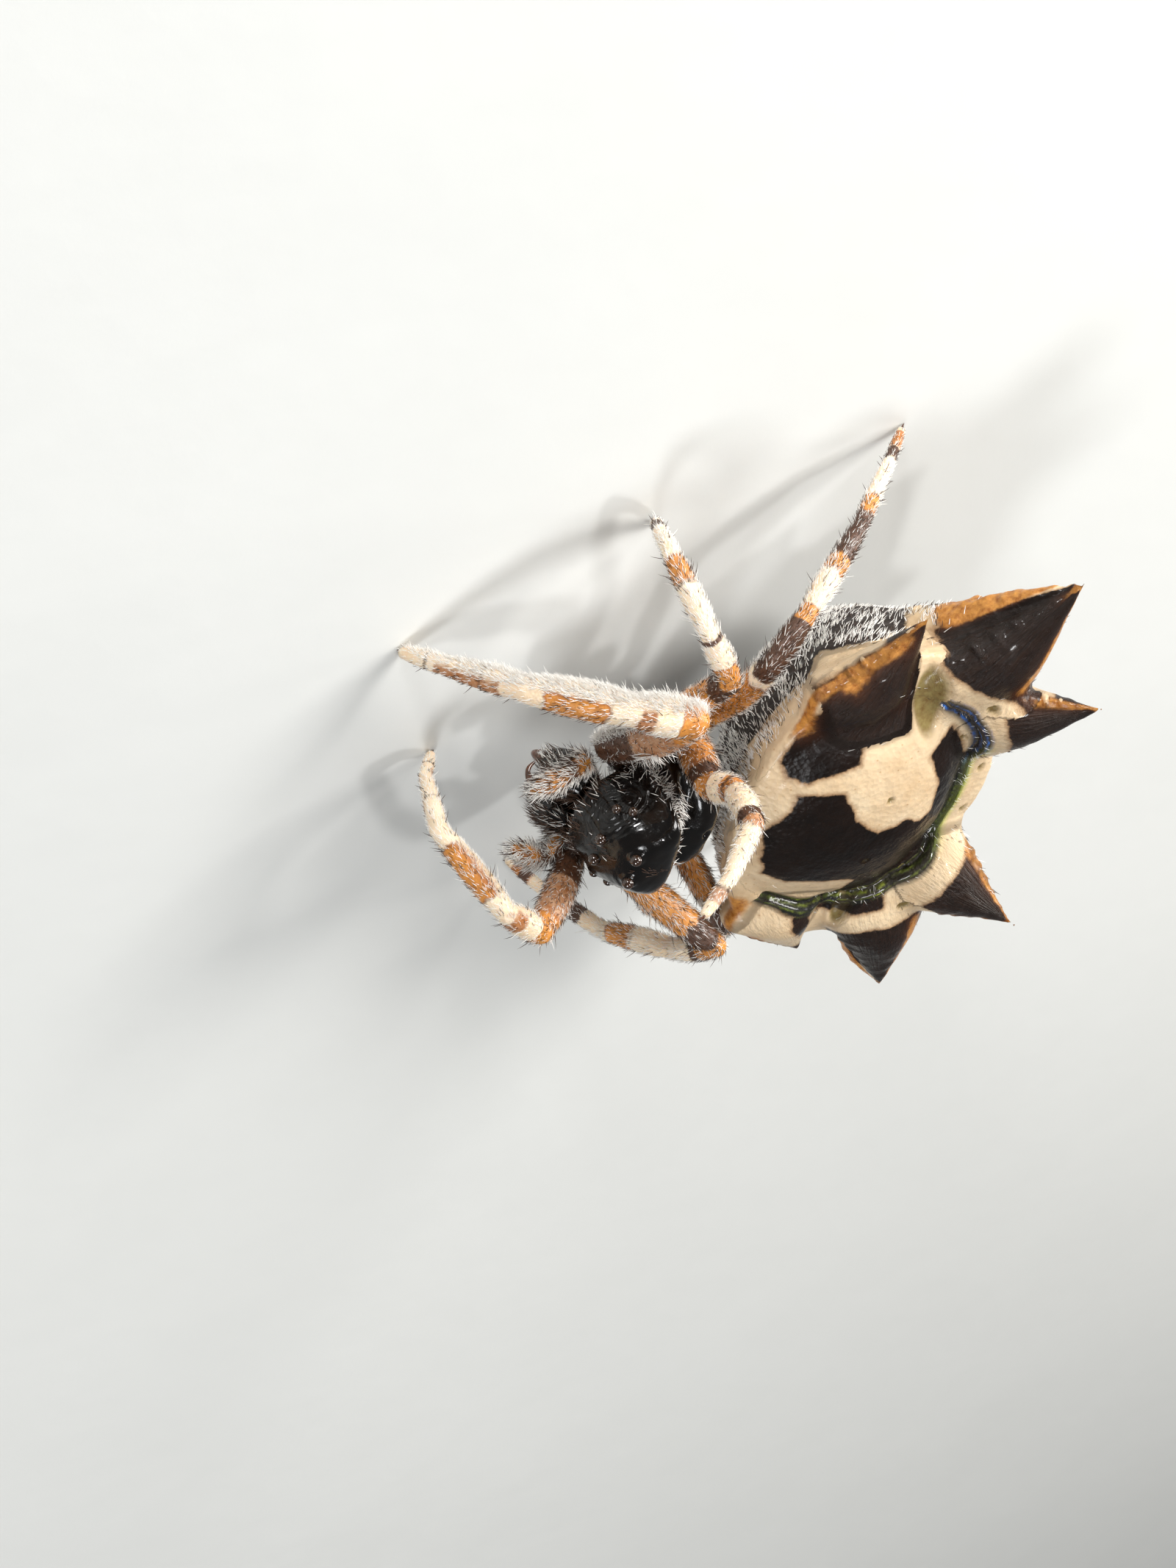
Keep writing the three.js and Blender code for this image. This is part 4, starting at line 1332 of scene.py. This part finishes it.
def grow(name, roots, out, lie, length, width, stand, tone, unwrap):
    """One mesh of hairs with their tones, and their places on the skin's unwrap."""
    verts = hair_points(roots, out, lie, length, width, stand)
    count = len(roots)
    start = np.arange(count)[:, None] * POINTS
    corners = np.hstack([start + np.ravel(QUADS), start + np.ravel(TIPS)])
    sizes = np.tile([4] * len(QUADS) + [3] * len(TIPS), count)
    mesh = bpy.data.meshes.new(name)
    mesh.vertices.add(count * POINTS)
    mesh.vertices.foreach_set("co", verts.astype(np.float32).ravel())
    mesh.loops.add(corners.size)
    mesh.loops.foreach_set("vertex_index", corners.astype(np.int32).ravel())
    mesh.polygons.add(len(sizes))
    mesh.polygons.foreach_set("loop_start", np.concatenate([[0], np.cumsum(sizes)[:-1]]).astype(np.int32))
    mesh.update(calc_edges=True)
    mesh.validate()
    piece = bpy.data.objects.new(name, mesh)
    bpy.context.collection.objects.link(piece)
    store(piece, "tone", np.repeat(np.broadcast_to(tone, count), POINTS))
    local = ON_PATCH[np.concatenate([np.ravel(QUADS), np.ravel(TIPS)])] * PATCH
    flat = np.repeat(unwrap[:, None, :], len(local), axis=1) + local
    mesh.uv_layers.new(name="OFBake").data.foreach_set("uv", flat.astype(np.float32).ravel())
    return piece


# %% Coat of the legs
MARGIN = 0.02


def unwrap_legs(points, found):
    """Along the leg in one direction and round it in the other, a strip for each leg of a side."""
    ahead = line_heads[found]
    side = unit(np.cross(ahead, np.broadcast_to(ODD_DIRECTION, ahead.shape)), TINY)
    up = np.cross(ahead, side)
    off = points - line_spots[found]
    around = np.arctan2(np.sum(off * side, axis=1), np.sum(off * up, axis=1)) / (2 * math.pi) + 0.5
    strip = (line_legs[found] % 4 + 0.06 + 0.88 * around) / 4
    return np.stack([MARGIN + (1 - 2 * MARGIN) * line_places[found] / len(PROFILES), strip], 1)


def leg_coat(name, numbers, count):
    """Short hairs and a few long bristles. The outer side of the right front leg is furry and white, its
    white partly painted rim light.
    """

    def density(points, facing):
        found, off = nearest_place(points)
        place, front = line_places[found], line_legs[found] == 0
        fuzzy = 1 - 0.4 * front + 2.9 * front * ease_step(-inward_of(points, found), 0.02, 0.12)
        on_leg = np.isin(line_legs[found], numbers) * (off < 0.4) * (place > 0.6)
        return on_leg * (1 - 0.5 * ease_step(place, 4.5, 6)) * fuzzy

    roots, out = scatter(skin, count, density)
    orange, dark, found = marks_on_limbs(roots)
    long = rng.random(count) > 0.975
    length = np.where(long, rng.uniform(0.2, 0.34, count), rng.uniform(0.07, 0.15, count))
    length = length * (1 - 0.4 * ease_step(line_places[found], 2.5, 6))
    width = np.where(long, 0.0075, 0.0052)
    stand = np.where(long, rng.uniform(0.7, 1.1, count), rng.uniform(0.3, 0.75, count))
    # the outer side of the right front leg has longer, raised white hairs: real fur, its whiteness partly
    # painted rim light
    furry_rim_lit = (line_legs[found] == 0) & (inward_of(roots, found) < -0.05)
    length, stand = length * np.where(furry_rim_lit & ~long, 1.45, 1), stand + 0.2 * furry_rim_lit
    pale = chosen(count, np.where(dark > 0.5, 0.25, np.where(orange > 0.5, 0.6, 0.92)))
    tone = np.where(long & ~furry_rim_lit, chosen(count, 0.4), np.maximum(pale, furry_rim_lit))
    return grow(name, roots, out, line_heads[found], length, width, stand, tone, unwrap_legs(roots, found))


coats = [
    leg_coat("coat_leg_right_front", [0], 11000),
    leg_coat("coat_legs_right", [1, 2, 3], 12500),
    leg_coat("coat_legs_left", [4, 5, 6, 7], 13000),
]
print("coat of the legs:", {c.name: len(c.data.polygons) for c in coats})


# %% Coat of the carapace
def unwrap_round(points, middle):
    """A round piece laid out like a map of the world."""
    x, y, z = unit(points - middle, TINY).T
    around, up = np.arctan2(y, x) / (2 * math.pi), np.arcsin(z) / math.pi
    return MARGIN + (1 - 2 * MARGIN) * (np.stack([around, up], 1) + 0.5)


def front_density(points, facing):
    x, y, z = points.T
    groove = bell(groove_line(x, y), 0.12)
    tuft = 2.5 * groove * ease_step(np.abs(y), 0.55, 0.85)
    side = bell(z + 0.24, 0.1)
    crest = bell(y, 0.09) * ease_step(x, 0.7, 1.0)
    return (z > -0.33) * (0.8 * groove + tuft + 1.6 * side + 0.5 * crest + 0.4 * (x < -1.1))


HAIR_WIDTH = 0.0075
roots, out = scatter(carapace, 1300, front_density)
count, x = len(roots), roots[:, 0]
lie = np.where((x > 1.2)[:, None], [[0.4, 0, -1.0]], np.array([0.55, 0, 0.3]) - roots)
on_crest = (x > 0.6) & (np.abs(roots[:, 1]) < 0.3)
length = rng.uniform(0.12, 0.26, count) * np.where(on_crest, 0.55, 1)
tone = chosen(count, np.where(on_crest, 0.1, np.where(x > 1.1, 0.25, 0.7)))
stand = rng.uniform(0.3, 1.0, count)
unwrap = unwrap_round(roots, np.array([0.1, 0, 0.0]))
coats.append(grow("coat_carapace", roots, out, lie, length, HAIR_WIDTH, stand, tone, unwrap))


# %% Coat of the palps and underside
def under_density(points, facing):
    found, off = nearest_place(points)
    return ((off > 0.4) | (line_places[found] <= 0.6)) * (0.3 + 2.0 * (points[:, 0] > 1.1))


roots, out = scatter(skin, 3600, under_density)
count = len(roots)
lie = np.where((roots[:, 0] > 1.15)[:, None], [[1.0, 0, -0.2]], [[-0.3, 0, -0.2]])
length = rng.uniform(0.12, 0.3, count)
tone = chosen(count, np.where(out[:, 2] > 0, 0.85, 0.5))
stand = rng.uniform(0.35, 0.9, count)
unwrap = unwrap_round(roots, np.array([0.6, 0, -0.8]))
coats.append(grow("coat_palps", roots, out, lie, length, HAIR_WIDTH, stand, tone, unwrap))

# %% Coat of the jaws
roots, out = scatter(jaws, 900, lambda points, facing: 0.2 + ease_step(facing[:, 0], 0, 0.6))
count = len(roots)
lie = np.broadcast_to([0.2, 0, -1.0], roots.shape)
length, stand = rng.uniform(0.12, 0.28, count), rng.uniform(0.4, 0.9, count)
tone = chosen(count, 0.25)
unwrap = unwrap_round(roots, JAW["at"] * [1, 0, 1])
coats.append(grow("coat_jaws", roots, out, lie, length, 0.007, stand, tone, unwrap))


# %% Coat of the abdomen
def shell_density(points, facing):
    x, y, z = points.T
    weight, share, over, beside, _ = spine_places(points)
    below = ease_step(rim_height(x) - z, 0.1, 0.5) * (1 - weight)
    below *= 1 - 0.97 * ease_step(np.abs(y), 3.2, 3.6)
    fringe = bell(np.abs(crease_distance(x, y) - 0.1), 0.12) * (facing[:, 2] > 0.2) * (x < -3.3)
    keel = weight * bell(over, 0.3) * (share < 0.75)
    clumps = 0.35 + 1.3 * (rough(points, 1.6, 9) > -0.05)
    return 0.001 + 1.0 * below * clumps + 0.35 * fringe * clumps + 0.3 * keel * (beside > 0)


roots, out = scatter(abdomen, 12500, shell_density)
count = len(roots)
weight, *_, number = spine_places(roots)
lie = np.where((weight > 0.5)[:, None], of_spine("ahead", number), [[-0.8, 0, -0.45]])
above = out[:, 2] > 0.2
length = np.where(above, rng.uniform(0.06, 0.13, count), rng.uniform(0.09, 0.19, count))
width = np.where(above, 0.0055, 0.0078)
tone = chosen(count, np.where(weight > 0.5, 0.35, 0.8))
stand = rng.uniform(0.25, 0.75, count)
unwrap = unwrap_round(roots, np.array([-4.2, 0, 0.2]))
coats.append(grow("coat_abdomen", roots, out, lie, length, width, stand, tone, unwrap))
print("coat:", {c.name: len(c.data.polygons) for c in coats})

# %% [markdown]
# ## Setting the pieces down
# Each piece takes its finish, goes onto the frame and names the solids it stands for, which are hidden but
# stay in the scene. The solids stay in the simulation as its collision shapes.

# %% Pieces onto the frame
BOTH, PARTS = ("right", "left"), ("femur", "tibia", "foot")
LEG_NODES = [f"leg_{side}_{n}_{part}" for side in BOTH for n in (1, 2, 3, 4) for part in PARTS]
OTHER_SOFT_NODES = ("palp_right", "palp_left", "sternum", "mouthparts", "pedicel")
EYE_NODES = [f"eye_{side}_{name}" for side in BOTH for name, *_ in EYES]
SPINE_NODES = [f"spine_{side}_{name}" for side in BOTH for name in ("front", "middle", "back")]
settle(skin, "skin", skin_finish, *LEG_NODES, *OTHER_SOFT_NODES)
settle(carapace, "shell", carapace_finish, "carapace")
settle(eyes, "eye", eye_finish, *EYE_NODES)
settle(jaws, "shell", carapace_finish, "chelicera_right", "chelicera_left")
settle(fangs, "shell", horn_finish, "fang_right", "fang_left")
settle(claws, "shell", horn_finish)
settle(abdomen, "abdomen", shell_finish, "abdomen_shield", "abdomen_belly", "spinnerets", *SPINE_NODES)
for coat in coats:
    settle(coat, "bristle", bristle_finish)
for blank in blanks:
    bpy.data.objects.remove(blank)

# %% [markdown]
# ## Floor, light and camera
# The floor is a plain pale sheet. Large soft lights stand round the animal, one of them low at its
# right side, so that wet-looking highlights fall on the shell. Two small ones put crisp glints on the
# carapace. The camera is close, above and in front of the right side, and it is rolled far over, so the
# spider hangs in the picture as in a web.

# %% Floor
bpy.ops.object.select_all(action="DESELECT")
bpy.ops.mesh.primitive_plane_add(size=0.8, location=(0, 0, 0))
floor = bpy.context.object
floor.name = "floor"
floor.data.materials.append(floor_finish.material)
print("floor:", tuple(floor.dimensions))

# %% Camera
AZIMUTH, ELEVATION, ROLL = (math.radians(v) for v in (-51.8, 31.4, 142.5))
# millimetres from the middle of the carapace, and the focal length in pixels of the picture's height
DISTANCE, SHIFT_RIGHT, SHIFT_UP = 50.7, -1.23, 0.44
FOCAL_PIXELS, IMAGE_HEIGHT, SENSOR = 4172.6, 2133, 36
flat = math.cos(ELEVATION)
toward = np.array([flat * math.cos(AZIMUTH), flat * math.sin(AZIMUTH), math.sin(ELEVATION)])
level = unit(np.cross([0, 0, 1], toward))
upright = np.cross(toward, level)
right = math.cos(ROLL) * level + math.sin(ROLL) * upright
up = -math.sin(ROLL) * level + math.cos(ROLL) * upright
spot = (right * SHIFT_RIGHT + up * SHIFT_UP + toward * DISTANCE + PLACE) / MM
lens = bpy.data.cameras.new("camera")
lens.sensor_fit = "VERTICAL"
lens.sensor_height = SENSOR
lens.lens = FOCAL_PIXELS / IMAGE_HEIGHT * SENSOR
lens.clip_start = 0.001
camera = bpy.data.objects.new("camera", lens)
bpy.context.collection.objects.link(camera)
turned = Matrix((right, up, toward)).transposed().to_4x4()
camera.matrix_world = Matrix.Translation(spot) @ turned
bpy.context.scene.camera = camera
print("camera at", (spot * MM).round(1), "mm")

# %% Lights
# direction, distance and size in metres, power in watts and colour
LIGHTS = {
    "key": ((-0.75, -0.9, 0.75), 0.10, 0.045, 0.095, (1.0, 0.98, 0.95)),
    "sparkle": ((0.05, -0.3, 1.0), 0.10, 0.009, 0.022, (1.0, 1.0, 1.0)),
    "top": ((0.75, 0.3, 1.0), 0.11, 0.03, 0.05, (0.96, 0.98, 1.0)),
    "low side": ((-0.5, -1.0, 0.12), 0.08, 0.02, 0.035, (1.0, 0.99, 0.97)),
    "cheek": ((0.45, -0.85, 0.12), 0.08, 0.010, 0.026, (1.0, 1.0, 1.0)),
    "back": ((-1.0, -0.1, 0.25), 0.09, 0.03, 0.03, (1.0, 0.96, 0.9)),
}
target = Vector(PLACE / MM) + Vector((-0.0015, 0, 0))
for name, (direction, away, size, power, colour) in LIGHTS.items():
    lamp = bpy.data.lights.new(name, "AREA")
    lamp.shape = "DISK"
    lamp.size, lamp.energy, lamp.color = size, power, colour
    holder = bpy.data.objects.new(name, lamp)
    bpy.context.collection.objects.link(holder)
    holder.location = target + Vector(direction).normalized() * away
    holder.rotation_euler = (target - holder.location).to_track_quat("-Z", "Y").to_euler()
world = bpy.data.worlds.new("studio")
world.use_nodes = True
background = world.node_tree.nodes["Background"]
background.inputs["Color"].default_value = (0.9, 0.93, 0.95, 1)
background.inputs["Strength"].default_value = 0.2
bpy.context.scene.world = world
bpy.context.scene.view_settings.view_transform = "Standard"
print("lights:", list(LIGHTS))
